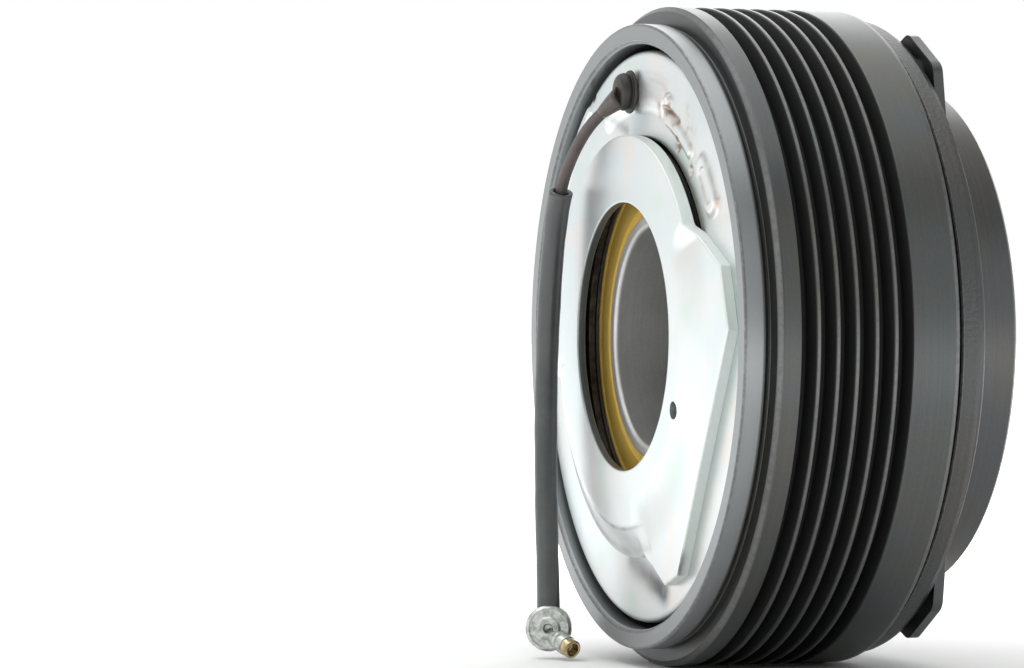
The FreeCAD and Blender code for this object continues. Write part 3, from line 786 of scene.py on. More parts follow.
@dataclass
class Pulley:
    """The grooved rim with its rear lip, and the rotor inside it.

    Attributes are in millimetres, and follow the CAD frame.
    """

    radius: float = 60.0
    front: float = -22.3
    rear: float = 11.1
    lip_radius: float = 56.8
    lip_rear: float = 16.1
    inside: float = 53.2
    pole_radius: float = 55.2
    pole_back: float = -17.8
    grooves: int = 6
    pitch: float = 3.56
    depth: float = 2.9
    root_flat: float = 0.8
    middle: float = -3.3

    def section(self) -> list[Corner]:
        """The rim's section.

        Returns:
            Its corners, from the front edge over the grooves and the lip, and back inside.
        """
        half_flat = self.root_flat / 2
        half_mouth = half_flat + self.depth * math.tan(math.radians(20))
        root = self.radius - self.depth
        corners: list[Corner] = [
            (self.pole_radius, self.front, 0.1), (self.radius - 0.1, self.front, 0.4),
            (self.radius, self.front + 0.9, 0.4),
        ]
        for i in range(self.grooves):
            centre = self.middle + (i - (self.grooves - 1) / 2) * self.pitch
            corners += [
                (self.radius, centre - half_mouth, 0.14), (root, centre - half_flat, 0.2),
                (root, centre + half_flat, 0.2), (self.radius, centre + half_mouth, 0.14),
            ]
        relief = 0.6
        return corners + [
            (self.radius, self.rear - 0.9, 0.3), (self.radius - 0.9, self.rear, 0.3),
            (self.lip_radius - relief, self.rear, 0.2), (self.lip_radius - relief, self.rear + relief, 0.2),
            (self.lip_radius, self.rear + 2 * relief, 0.2), (self.lip_radius, self.lip_rear, 0.45),
            (self.inside + 0.55, self.lip_rear, 0.25), (self.inside, self.lip_rear - 0.7, 0.2),
            (self.inside, self.pole_back, 0.1), (self.pole_radius, self.pole_back, 0.1),
        ]

    def build(self) -> None:
        """Builds the rim and dresses the rotor."""
        finish = TurnedSteel(
            "pulley steel", (0.088, 0.096, 0.097), (0.098, 0.097, 0.088), roughness=0.36,
            edges=tuple((self.radius, y, 0.30) for y in self.crests()[1:-1])
            + ((self.radius, self.front + 0.5, 0.5), (self.radius - 0.4, self.rear - 0.4, 0.7),
               (self.lip_radius, self.lip_rear, 0.6), (self.inside + 0.3, self.lip_rear, 0.6)),
            # Painted shade in the belt grooves, up to the last crest.
            shade_below=(self.radius - 0.05, self.radius - 0.45), shade_until=self.crests()[-1],
            pale_beyond=self.rear + 1.4, worn=(0.15, 0.152, 0.15),
        )
        rim = turned("pulley_rim", self.section(), finish.material(), around=320)
        place_piece(rim, "rotor", "pulley_steel", "grooved_rim")
        dark = TurnedSteel("rotor steel", (0.03, 0.03, 0.031), (0.035, 0.032, 0.03), roughness=0.5)
        dress("rotor_cup", dark.material())

    def crests(self) -> list[float]:
        """The places along the axis of the ridges between the grooves."""
        first = self.middle - self.grooves / 2 * self.pitch
        return [first + i * self.pitch for i in range(self.grooves + 1)]


# Bearing ---------------------------------------------------------------------------------------


@dataclass
class Bearing:
    """The sealed double-row bearing and its circlip, in millimetres."""

    bore: float = 20.0
    inner_face: float = 22.4
    inner_land: float = 24.2
    half: float = 12.0
    seat: float = 9.8
    seal_out: float = 30.2

    def build(self) -> None:
        """Builds the races and seals, and dresses the balls, cages and clip."""
        ground = TurnedSteel(
            "ground bearing steel", (0.60, 0.60, 0.585), (0.50, 0.50, 0.485), roughness=0.44, metallic=0.8,
            marks=2.0, edges=((self.bore + 0.4, self.half - 0.3, 0.6), (self.inner_face, self.half, 0.4)),
            worn=(0.62, 0.62, 0.62),
        ).material()
        half, seat = self.half, self.seat
        race = turned("inner_race", [
            (self.bore, -half, 0.7), (self.inner_face, -half, 0.3), (self.inner_face, -seat, 0.1),
            (self.inner_land, -seat, 0.1), (self.inner_land, seat, 0.1), (self.inner_face, seat, 0.1),
            (self.inner_face, half, 0.3), (self.bore, half, 0.7),
        ], ground)
        place_piece(race, "stator", "bearing_steel", "bearing_inner_race")
        # Painted shade: the outer race gets a dark tone, much darker than the inner race's ground steel, for
        # the shadow deep in the bore.
        dress("bearing_outer_race", TurnedSteel(
            "outer race steel", (0.12, 0.12, 0.125), (0.13, 0.12, 0.11), roughness=0.35).material())
        seal = Moulded(
            "ochre seal", (0.68, 0.46, 0.085), (0.74, 0.55, 0.16), roughness=0.42, grain=6.0, coat=0.15,
        ).material()
        for side, place in ((1, "rear"), (-1, "front")):
            piece = turned(f"seal_{place}", [(r, side * y, s) for r, y, s in self.seal_section()], seal)
            place_piece(piece, "rotor", "seal_rubber", f"bearing_seal_{place}")
            dress(f"bearing_cage_{place}", Moulded(
                f"cage nylon {place}", (0.62, 0.55, 0.38), (0.70, 0.65, 0.5)).material())
            dress(f"bearing_balls_{place}", PlainMetal(
                f"ball steel {place}", (0.75, 0.75, 0.77), (0.68, 0.68, 0.70), 0.08).material())
        clip = PlainMetal("clip steel", (0.10, 0.10, 0.105), (0.05, 0.05, 0.05), 0.4)
        dress("bearing_clip", clip.material())

    def seal_section(self) -> list[Corner]:
        """The seal's section: a lip, a groove, a broad face and a raised rim."""
        near, far, lip = self.seat + 0.2, self.seat + 1.8, self.inner_face + 0.1
        return [
            (lip, near + 0.6, 0.2), (lip + 0.9, near, 0.1), (self.seal_out, near, 0.1),
            (self.seal_out, far - 0.1, 0.2), (self.seal_out - 0.8, far, 0.15),
            (self.seal_out - 1.1, far - 0.3, 0.1), (lip + 2.4, far - 0.25, 0.1), (lip + 2.1, far, 0.15),
            (lip + 1.6, far - 0.05, 0.1), (lip + 1.4, far - 0.6, 0.1), (lip + 0.8, far - 0.6, 0.1),
            (lip + 0.5, far, 0.15), (lip, far - 0.1, 0.15),
        ]


# Coil ------------------------------------------------------------------------------------------


class Mark(Enum):
    """What a mark on the housing's back does to its height."""

    RAISED = 1.0
    SUNK = -1.0


@dataclass(frozen=True)
class Track:
    """A curved bar on the housing's back, in millimetres and in degrees from -X towards +Z.

    Attributes:
        radius: The radius of its middle line.
        half_width: Half its width.
        first: The angle where it starts.
        last: The angle where it ends.
        high: How high or deep it is.
        soft: How wide the slope at its edge is.
        mark: Whether it is raised or sunk.
        dirty: How much dirt lies along its edge.
    """

    radius: float
    half_width: float
    first: float
    last: float
    high: float
    soft: float = 0.5
    mark: Mark = Mark.RAISED
    dirty: float = 0.0

    def gap(self, radius: np.ndarray, angle: np.ndarray) -> np.ndarray:
        """How far points are outside its edge.

        It is their distance from the round-ended middle line, less half the width.

        Args:
            radius: The points' distances from the axis.
            angle: Their angles.

        Returns:
            The distances, which are negative inside the bar.
        """
        middle, reach = (self.first + self.last) / 2, (self.last - self.first) / 2
        past = np.maximum(np.abs(angle - middle) - reach, 0)
        along = np.radians(past) * self.radius
        return np.hypot(radius - self.radius, along) - self.half_width

    def height(self, radius: np.ndarray, angle: np.ndarray) -> np.ndarray:
        """The height it adds: full inside the bar, and falling smoothly over the soft width at its edge."""
        fall = step(self.gap(radius, angle), -self.soft / 2, self.soft / 2)
        return self.mark.value * self.high * (1 - fall)

    def dirt(self, radius: np.ndarray, angle: np.ndarray) -> np.ndarray:
        """How much dirt lies there: a thin line along its edge, exp(-(gap / 0.36)^2)."""
        return self.dirty * np.exp(-((self.gap(radius, angle) / 0.36) ** 2))


@dataclass
class Coil:
    """The pressed housing of the coil, with the marks on its back, and what is inside it.

    Lengths are in millimetres. A line of painted shadow and dark reflection is given by its two ends, as (x,
    z), its reach and its strength.
    """

    inner: float = 36.2
    outer: float = 52.0
    front: float = -17.0
    rear: float = 14.2
    shell: float = 1.8
    # Painted shadow and dark reflection on the housing's back: below the wing's lower edge, and along the top
    # left of the plate's disc.
    shadow_lines: tuple[tuple[Flat, Flat, float, float], ...] = (
        ((4.0, -41.0), (-12.6, -45.6), 2.4, 1.0), ((-6.0, -45.0), (-12.6, -46.4), 1.6, 0.3),
        ((16.5, 40.8), (7.0, 37.9), 1.1, 0.5),
    )
    tracks: tuple[Track, ...] = (
        Track(44.6, 2.3, 74, 112, 0.6, 3.2, dirty=0.15),
        Track(41.6, 1.2, 52, 70, 0.5, 1.4, dirty=0.4),
        Track(43.4, 2.7, 33, 42, 0.75, 1.6, dirty=0.35),
        Track(50.4, 1.0, 123, 158, 0.5, 0.9),
        Track(44.9, 1.1, 70, 70.1, 0.7, 0.9, dirty=0.6),
        Track(43.4, 1.4, 34.5, 40.5, 0.45, 0.8, Mark.SUNK, 0.3),
        Track(43.2, 0.3, 62, 72, 0.6, 0.4, Mark.SUNK, 1.0),
        Track(39.4, 1.3, 60, 60.1, 1.6, 0.3, Mark.SUNK, 0.9),
        Track(39.2, 0.85, 48, 48.1, 0.6, 0.4, Mark.SUNK, 0.7),
        Track(51.4, 0.45, 118.6, 119.4, 1.2, 0.3, Mark.SUNK, 1.0),
    )

    def build(self) -> None:
        """Builds the housing and dresses the winding, the bobbin and the resin."""
        grid, dirt = self.grid()
        housing = closed_surface("coil_shell", grid, ZincPlate(
            "zinc-plated housing", dirt_and_shade="dirt", shade="shade", stains=self.stains(),
            holes=((*rear_spot(39.4, 60), 1.3),), floor=self.rear - 0.3,
        ).material())
        paint(housing, "dirt", dirt)
        # Painted shadow and dark reflection on the housing's back.
        paint(housing, "shade", self.shading(grid / MM))
        place_piece(housing, "stator", "zinc_steel", "coil_housing")
        dress("coil_bobbin", Moulded("bobbin nylon", (0.05, 0.045, 0.04), (0.08, 0.07, 0.06)).material())
        dress("coil_winding", TurnedSteel(
            "enamelled copper", (0.42, 0.13, 0.05), (0.5, 0.18, 0.07), metallic=0.9, marks=60,
            marks_per_mm=1.8).material())
        dress("coil_resin", Moulded(
            "cast resin", (0.14, 0.06, 0.025), (0.2, 0.09, 0.04), roughness=0.25, coat=0.4).material())

    def shading(self, points: np.ndarray) -> np.ndarray:
        """Painted shadow and dark reflection on the back: for each shadow line, a bell curve of the distance
        from it.

        Args:
            points: The housing's points, in millimetres.

        Returns:
            A value from 0 to 1 for each point, which is 0 off the back.
        """
        flat = points[..., [0, 2]]
        total = np.zeros(flat.shape[:2])
        for start, end, reach, strength in self.shadow_lines:
            along = np.subtract(end, start)
            share = np.clip((flat - start) @ along / (along @ along), 0, 1)
            gap = np.linalg.norm(flat - start - share[..., None] * along, axis=-1)
            total += strength * (0.6 + 0.4 * share) * np.exp(-((gap / reach) ** 2))
        return np.clip(total, 0, 1) * (points[..., 1] > self.rear - 1.0)

    def stains(self) -> tuple[Spot, ...]:
        """The brown stains round the holes and tracks, as (x, z, reach, strength)."""
        return (
            (*rear_spot(42.5, 72), 4.5, 0.75), (*rear_spot(41.5, 64), 3.5, 0.7),
            (*rear_spot(39.6, 59), 2.6, 0.9), (*rear_spot(39.4, 49), 2.4, 0.55),
            (*rear_spot(46.0, 30), 2.2, 0.8), (*rear_spot(45.0, 56), 5.0, 0.45),
            (*rear_spot(42.6, 50), 3.0, 0.4),
        )

    def grid(self) -> tuple[np.ndarray, np.ndarray]:
        """The channel's closed section at each angle, with the tracks' heights added to its back.

        The section is the same rounded outline all round. A point on the back moves along the axis by
        the sum of the tracks' heights at its radius and angle. Dirt lies along the tracks' edges.

        Returns:
            The points in metres, and how dirty each is.
        """
        inside = self.rear - self.shell
        outline = rounded([
            (self.inner, self.front, 0.2), (self.inner + self.shell, self.front, 0.2),
            (self.inner + self.shell, inside, 0.2), (self.outer - self.shell, inside, 0.2),
            (self.outer - self.shell, self.front, 0.2), (self.outer, self.front, 0.2),
            (self.outer, self.rear, 0.9), (self.inner, self.rear, 0.5),
        ])
        start = int(np.argmax(outline[:, 0] + outline[:, 1]))
        outline = np.roll(outline, -start, axis=0)
        back = np.linspace(self.outer - 1.05, self.inner + 0.65, 84)
        on_back = (outline[:, 1] > self.rear - 1e-6) & (outline[:, 0] < back[0]) & (outline[:, 0] > back[-1])
        keep = outline[~on_back]
        split = int(np.argmax((keep[:, 0] < back[-1]) & (keep[:, 1] > inside + 0.5)))
        outline = np.vstack([keep[:split], np.stack([back, np.full_like(back, self.rear)], -1), keep[split:]])
        seen = np.concatenate([np.linspace(28, 164, 540), np.linspace(164, 388, 150)[1:-1]])
        radius, y = outline[None, :, 0], outline[None, :, 1]
        turned_to = seen[:, None]
        share = (y > inside + 0.2) * 1.0
        high = sum(track.height(radius, turned_to) for track in self.tracks)
        y = y + share * high * step(radius, self.inner, self.inner + 1.2)
        dirt = np.clip(sum(track.dirt(radius, turned_to) for track in self.tracks), 0, 1) * share
        return rear_grid(radius, y, turned_to), dirt


def rear_grid(radius: np.ndarray, y: np.ndarray, seen: np.ndarray) -> np.ndarray:
    """The points in metres at a distance from the axis, a y, and an angle as it is seen from the rear."""
    angle = np.radians(180 - seen)
    return np.stack([radius * np.cos(angle), y, radius * np.sin(angle)], -1) * MM


def rear_spot(radius: float, degrees: float) -> Flat:
    """The (x, z) of a point on a circle, with its angle as it is seen from the rear."""
    angle = math.radians(180 - degrees)
    return radius * math.cos(angle), radius * math.sin(angle)


# Mounting plate --------------------------------------------------------------------------------


@dataclass
class MountingPlate:
    """The pressed plate: a raised face round the opening, a skirt at the lower left and a wing.

    Attributes:
        hole: The opening's radius.
        disc: The radius of its plain outline.
        face: Where the raised face is, along the axis.
        thick: The sheet's thickness at the rim.
        hole_thick: Its thickness at the opening.
        soft: The rounding of its edges.
        rows: The number of points across its face.
        wing_face: Where the wing's face is, along the axis.
        foot: Where the housing's back is, along the axis.
        skirt: The skirt's radius.
        wing_bend: The radii between which the face falls to the wing.
        skirt_bend: The radii between which it falls over the skirt.
        skirt_drop: How far it would fall over the whole of that bend.
        wing: The wing's corners, as (x, z) seen from the rear.
        pin_hole: The locating hole's distance from the axis, angle seen from the rear, and radius.
    """

    hole: float = 24.3
    disc: float = 36.6
    face: float = 17.8
    thick: float = 2.6
    hole_thick: float = 1.6
    soft: float = 0.3
    rows: int = 56
    wing_face: float = 16.2
    foot: float = 14.2
    skirt: float = 40.2
    wing_bend: tuple[float, float] = (29.0, 41.0)
    skirt_bend: tuple[float, float] = (34.0, 41.2)
    skirt_drop: float = 2.1
    wing: tuple[Flat, ...] = (
        (31.2, 19.4), (45.2, 12.3), (49.0, 1.1), (24.6, -42.2), (18.0, -44.3), (8.3, -39.4),
    )
    pin_hole: tuple[float, float, float] = (29.6, -26.0, 1.6)

    def reach(self, seen: np.ndarray) -> np.ndarray:
        """The outline's distance from the axis at each angle seen from the rear, in degrees.

        A ray from the axis meets each side of the wing where its cross product with the side's
        start, over that with the side itself, gives the distance. The skirt and the disc are circles.

        Args:
            seen: The angles.

        Returns:
            The distance at each, in millimetres.
        """
        across, up = np.cos(np.radians(seen)), np.sin(np.radians(seen))
        out = np.full_like(seen, self.disc)
        turn = (seen + 360) % 360
        out = np.where((turn > 190) & (turn < 290), self.skirt, out)
        for (x0, z0), (x1, z1) in zip(self.wing, self.wing[1:]):
            side = across * (z1 - z0) - up * (x1 - x0)
            far = (x0 * (z1 - z0) - z0 * (x1 - x0)) / np.where(np.abs(side) < 1e-9, 1e-9, side)
            first, last = math.degrees(math.atan2(z0, x0)), math.degrees(math.atan2(z1, x1))
            on = (seen <= first) & (seen >= last)
            out = np.where(on, far, out)
        return out

    def grid(self) -> np.ndarray:
        """The plate's closed section at each angle: hole wall, face, edge and underside.

        The face's height falls smoothly from the raised face to the wing or the foot of the skirt
        across the bend, and the underside follows it a thickness lower.

        Returns:
            An array (angles, points round the section, 3) in metres.
        """
        corners = [math.degrees(math.atan2(z, x)) for x, z in self.wing]
        seen = np.unique(np.concatenate([np.linspace(-171, 189, 720)[:-1], corners]))
        out = self.reach(seen)[:, None]
        ones = np.ones_like(out)
        soft, low, low_in = self.soft, self.soft - self.thick, self.soft - self.hole_thick
        face = self.hole + soft + (out - self.hole - 2 * soft) * np.linspace(0, 1, self.rows)[None, :]
        turns = [(soft * math.sin(a), soft * math.cos(a)) for a in np.radians([15, 45, 75])]
        flat, under = np.zeros(self.rows), -np.linspace(self.thick, self.hole_thick, self.rows)
        columns = [
            (face, flat), *((out - soft + s, c - soft) for s, c in turns), (out, -soft), (out, low),
            *((out - soft + c, low - s) for s, c in turns), (face[:, ::-1], under),
            *((self.hole + soft - s * ones, low_in - c) for s, c in turns), (self.hole * ones, low_in),
            (self.hole * ones, -soft), *((self.hole + soft - c * ones, s - soft) for s, c in turns),
        ]
        radius = np.hstack([r for r, _ in columns])
        drop = np.hstack([np.atleast_1d(d) for _, d in columns])
        y = np.maximum(self.height(radius, seen[:, None]) + drop[None, :], self.foot + 0.02)
        return rear_grid(radius, y, seen[:, None])

    def fold_shading(self, points: np.ndarray, edge: np.ndarray) -> np.ndarray:
        """Painted shade at each point: the skirt's slope, a thin line inside it, and the wing's lowest cut
        edge.

        The slope's painted shade is a bell curve round the skirt's edge, and narrows and fades towards the
        wing. The thin line is a narrower bell curve inside the slope, on the lowest part only.

        Args:
            points: The plate's points, in millimetres.
            edge: 1 on the points along the top of its cut edge, and 0 elsewhere.

        Returns:
            A value from 0 to 1 for each point.
        """
        radius = np.hypot(points[..., 0], points[..., 2])
        seen = np.degrees(np.arctan2(points[..., 2], -points[..., 0]))
        turn = (seen + 360) % 360
        width = 2.6 - 1.6 * step(turn, 196, 240)
        # Painted shade on the skirt's slope, and in the thin fold line inside it.
        slope = 0.5 * np.exp(-(((radius - self.skirt + 0.9) / width) ** 2)) * step(turn, 190, 206)
        slope *= 1 - 0.6 * step(turn, 240, 284)
        line = 0.55 * np.exp(-(((radius - 35.0) / 0.3) ** 2))
        line = line * step(turn, 236, 250) * (1 - step(turn, 280, 286))
        # Painted shade on the wing's lowest cut edge.
        low_edge_shade = 0.9 * edge * step(-seen, 52.0, 57.0) * (1 - step(-seen, 59.4, 60.4))
        return np.clip(slope * (turn < 287) + line + low_edge_shade, 0, 1)

    def height(self, radius: np.ndarray, seen: np.ndarray) -> np.ndarray:
        """The face's place along the axis: raised inside the bend, and lower outside it.

        The drop is the wing's on the wing and the skirt's at the lower left, and fades out round the disc.

        Args:
            radius: The points' distances from the axis.
            seen: Their angles seen from the rear, in degrees.

        Returns:
            The place of the face at each, in millimetres.
        """
        turn = (seen + 360) % 360
        on_wing = 1 - step(np.abs(seen + 24), 50, 58)
        on_skirt = step(turn, 186, 194) * (1 - step(turn, 278, 286))
        wing_drop = (self.face - self.wing_face) * step(radius, *self.wing_bend)
        skirt_drop = self.skirt_drop * step(radius, *self.skirt_bend)
        return self.face - on_wing * wing_drop - on_skirt * (1 - on_wing) * skirt_drop

    def build(self) -> None:
        """Builds the plate, with its locating hole."""
        grid = self.grid()
        # The plate's finish darkens with painted shade in its folds, in a grey-blue tone.
        plate = closed_surface("plate", grid, ZincPlate(
            "zinc-plated plate", dirt_and_shade="fold_shade", dirt_and_shade_tone=(0.05, 0.06, 0.066), wall="wall",
            shaded_opening=self.hole + 0.05).material())
        wall = np.zeros(grid.shape[:2])
        wall[:, self.rows + 1:self.rows + 7] = 1.0
        paint(plate, "wall", wall)
        edge = np.zeros(grid.shape[:2])
        edge[:, self.rows:self.rows + 4] = 1.0
        # Painted shade in the plate's folds and on the wing's lowest cut edge.
        paint(plate, "fold_shade", self.fold_shading(grid / MM, edge))
        radius, degrees, size = self.pin_hole
        bored(plate, rear_spot(radius, degrees), size)
        place_piece(plate, "stator", "zinc_steel", "mounting_plate")


# Lead ------------------------------------------------------------------------------------------


@dataclass
class Lead:
    """The coil's lead with its grommet, protective tube and terminal, in millimetres."""

    radius: float = 1.1
    tube_radius: float = 2.15
    tube_bore: float = 1.55
    mouth: int = 3
    grommet_at: Corner = (3.0, 14.2, 44.7)
    terminal_at: Corner = (23.3, 23.8, -54.4)
    terminal_face: Corner = (-0.926, 0.378, 0.0)
    stub_along: Corner = (-0.868, -0.249, -0.30)
    route: tuple[Corner, ...] = (
        (2.4, 16.9, 43.8),
        (8.9, 19.4, 40.7),
        (16.7, 20.9, 35.0),
        (23.1, 21.8, 27.3),
        (27.1, 22.3, 10.8),
        (28.0, 22.8, -9.2),
        (26.6, 23.3, -27.6),
        (24.8, 23.6, -40.8),
        (23.5, 23.8, -51.3),
    )

    def cord(self, material: bpy.types.Material) -> bpy.types.Object:
        """The lead as one smooth round cord, with the route's points as its control points.

        Args:
            material: Its finish.

        Returns:
            The curve object.
        """
        curve = bpy.data.curves.new("coil_lead", "CURVE")
        curve.dimensions = "3D"
        curve.resolution_u = 16
        curve.bevel_depth = self.radius * MM
        curve.bevel_resolution = 6
        curve.use_fill_caps = True
        spline = curve.splines.new("NURBS")
        spline.points.add(len(self.route) - 1)
        places = np.array([(x * MM, y * MM, z * MM, 1) for x, y, z in self.route])
        spline.points.foreach_set("co", places.ravel())
        spline.order_u = 3
        spline.use_endpoint_u = True
        curve.materials.append(material)
        return in_scene("coil_lead", curve)

    def path(self, lead: bpy.types.Object) -> np.ndarray:
        """The points along the cord's middle, read from a copy of it with no thickness.

        Args:
            lead: The cord.

        Returns:
            An array (points, 3) in metres.
        """
        curve = lead.data.copy()
        curve.bevel_depth = 0.0
        bare = in_scene("path", curve)
        mesh = finished_mesh(bare)
        points = np.empty(len(mesh.vertices) * 3, dtype=np.float32)
        mesh.vertices.foreach_get("co", points)
        bpy.data.objects.remove(bare)
        bpy.data.curves.remove(curve)
        bpy.data.meshes.remove(mesh)
        return points.reshape(-1, 3).astype(float)

    def tube(self, path: np.ndarray) -> bpy.types.Object:
        """The protective tube: from its mouth, which is worn open a little, to the terminal and back inside.

        Args:
            path: The points along the cord's middle.

        Returns:
            The tube.
        """
        start = int(np.argmin(np.linalg.norm(path - np.array(self.route[self.mouth]) * MM, axis=1)))
        down = np.arange(start, len(path))
        rows = np.concatenate([[start], down, down[::-1], [start]])
        outside = 1 + len(down)

        def radius(row: np.ndarray) -> np.ndarray:
            """The outer radius, then the bore's, meeting in a round rim at the mouth.

            Each is its own size, plus a flare that dies away from the mouth as exp(-rows / 2), plus two
            long slight waves.

            Args:
                row: The rows' numbers.

            Returns:
                The radius of each, in millimetres.
            """
            from_mouth = np.minimum(row, 2 * outside - 1 - row)
            flare = 0.12 * np.exp(-from_mouth / 2.0)
            waves = 0.035 * np.sin(from_mouth * 0.31) + 0.02 * np.sin(from_mouth * 0.83)
            outer, bore = self.tube_radius + flare + waves, self.tube_bore + flare + 0.5 * waves
            size = np.where(row < outside, outer, bore)
            size[0], size[-1] = self.tube_radius - 0.12, self.tube_bore + 0.2
            return size

        vinyl = Moulded("tube vinyl", (0.060, 0.066, 0.067), (0.11, 0.115, 0.11), roughness=0.36, coat=0.15)
        return swept("lead_sleeve", path, radius, rows, vinyl.material())

    def relief(self, path: np.ndarray, material: bpy.types.Material) -> bpy.types.Object:
        """The grommet's collar round the lead, which narrows away from the coil.

        Args:
            path: The points along the cord's middle.
            material: Its finish.

        Returns:
            The collar.
        """
        out = np.arange(0, 9)
        rows = np.concatenate([out, out[::-1]])
        tail = len(out)

        def radius(row: np.ndarray) -> np.ndarray:
            """The collar's radius, then the lead's."""
            along = np.minimum(row, 2 * tail - 1 - row)
            return np.where(row < tail, 2.1 - 0.12 * along, self.radius + 0.02)

        return swept("lead_collar", path, radius, rows, material)

    def terminal(self) -> list[bpy.types.Object]:
        """The round terminal with its middle boss, the stub and the brass contact.

        Returns:
            The three pieces.
        """
        tinned = PlainMetal("tinned metal", (0.66, 0.69, 0.65), (0.36, 0.38, 0.35), 0.36, 0.8).material()
        brass = PlainMetal("brass", (0.62, 0.52, 0.34), (0.30, 0.22, 0.10), 0.25, 0.8).material()
        tiny = 0.01
        can = turned("terminal_can", [
            (0, -2.4, tiny), (4.1, -2.4, 0.5), (4.3, -1.2, 0.4), (4.3, 1.7, 0.7), (3.75, 2.35, 0.3),
            (3.4, 2.15, 0.15), (2.3, 2.2, 0.2), (1.9, 2.6, 0.2), (0.95, 2.6, 0.15), (0.75, 1.6, 0.2),
            (0, 1.6, tiny),
        ], tinned, around=96, spindle=Spindle(self.terminal_at, self.terminal_face))
        stub_line = Spindle(tuple(np.add(self.terminal_at, (0.3, 0.3, -0.8))), self.stub_along)
        stub = turned("terminal_stub", [
            (0, 0.0, tiny), (1.45, 0.0, 0.2), (1.5, 3.6, 0.3), (1.85, 4.2, 0.2), (1.85, 4.9, 0.15),
            (1.65, 5.1, 0.1), (1.65, 5.5, 0.1), (1.88, 5.7, 0.15), (1.88, 7.0, 0.2), (1.5, 7.1, 0.1),
            (1.4, 6.6, 0.1), (0, 6.6, tiny),
        ], tinned, around=72, spindle=stub_line)
        contact = turned("terminal_contact", [
            (0, 6.4, tiny), (1.6, 6.4, 0.1), (1.75, 7.2, 0.1), (1.75, 8.8, 0.2), (1.5, 9.0, 0.15),
            (1.2, 8.9, 0.1), (1.15, 7.0, 0.2), (0, 6.9, tiny),
        ], brass, around=72, spindle=stub_line)
        place_piece(can, "stator", "tinned_metal", "terminal_body")
        place_piece(stub, "stator", "tinned_metal")
        place_piece(contact, "stator", "brass", "terminal_tip")
        return [can, stub, contact]

    def build(self) -> None:
        """Builds the lead with everything on it."""
        rubber = Moulded("lead rubber", (0.055, 0.040, 0.036), (0.12, 0.095, 0.085), roughness=0.42, coat=0.1)
        skin = rubber.material()
        lead = place_piece(self.cord(skin), "stator", "lead_rubber", "lead_wire")
        path = self.path(lead)
        x, _, z = self.grommet_at
        black = Moulded("grommet rubber", (0.014, 0.011, 0.009), (0.045, 0.043, 0.036), roughness=0.46)
        knob = turned("grommet_knob", [
            (0, 14.95, 0.01), (4.0, 14.95, 0.1), (3.9, 15.4, 0.25), (3.1, 15.5, 0.15), (3.5, 16.3, 0.5),
            (3.1, 17.5, 0.9), (1.2, 17.75, 0.5), (0, 17.7, 0.01),
        ], black.material(), around=96, spindle=Spindle((x, 0.0, z)))
        tube, collar = self.tube(path), self.relief(path, skin)
        place_piece(knob, "stator", "lead_rubber", "lead_grommet")
        place_piece(collar, "stator", "lead_rubber")
        place_piece(tube, "stator", "tube_vinyl", "lead_tube")
        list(self.terminal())


# Hub and armature --------------------------------------------------------------------------------


@dataclass
class Hub:
    """The splined boss, the pressed cup with its rivets, and the rubber damper, in millimetres."""

    cup: float = 36.0
    recess: float = 33.0
    front: float = -39.4
    floor: float = -31.6
    floor_thick: float = 2.0
    cone: float = 16.6
    sleeve_inside: float = 44.6
    ear_front: float = -30.2

    def build(self) -> None:
        """Builds the cup and the damper, and dresses the boss, rivets and shims."""
        steel = TurnedSteel(
            "cup steel", (0.050, 0.053, 0.054), (0.060, 0.056, 0.051), roughness=0.38,
            edges=((self.recess + 0.4, self.front + 0.1, 0.5), (self.cup - 0.2, self.front + 0.1, 0.4),
                   (self.recess - 0.3, self.floor - 0.3, 0.35)),
        ).material()
        rear = self.floor + self.floor_thick
        cup = turned("inner_cup_shell", [
            (self.recess, self.front + 0.1, 0.35), (self.cup, self.front + 0.1, 0.35), (self.cup, rear, 0.8),
            (self.cone, rear, 0.1), (self.cone, self.floor, 0.15), (self.recess, self.floor, 0.7),
        ], steel)
        place_piece(cup, "hub", "cup_steel", "inner_cup")
        front, back = self.front + 0.35, self.ear_front + 0.5
        rubber = turned("damper_ring", [
            (self.cup, front - 0.05, 0.1), (self.cup + 0.9, front + 0.12, 0.3),
            (self.sleeve_inside - 0.9, front + 0.12, 0.3), (self.sleeve_inside - 0.05, front - 0.05, 0.1),
            (self.sleeve_inside - 0.05, back, 0.2), (self.sleeve_inside - 1.4, back - 1.2, 0.4),
            (self.cup + 1.4, back - 1.2, 0.4), (self.cup, back, 0.2),
        ], Moulded("damper rubber", (0.15, 0.158, 0.157), (0.19, 0.19, 0.185), roughness=0.40).material())
        place_piece(rubber, "hub", "damper_rubber", "rubber_damper")
        dress("hub_boss", TurnedSteel(
            "turned hub steel", (0.20, 0.205, 0.205), (0.18, 0.165, 0.15), roughness=0.3, metallic=1.0,
            marks=5.0, edges=((self.cone, self.floor, 0.3),), worn=(0.35, 0.35, 0.35)).material())
        rivets = PlainMetal("rivet steel", (0.22, 0.225, 0.225), (0.15, 0.15, 0.15), 0.38)
        dress("hub_rivets", rivets.material())
        dress("air_gap_shims", PlainMetal("shim steel", (0.5, 0.5, 0.5), (0.4, 0.4, 0.4), 0.3).material())


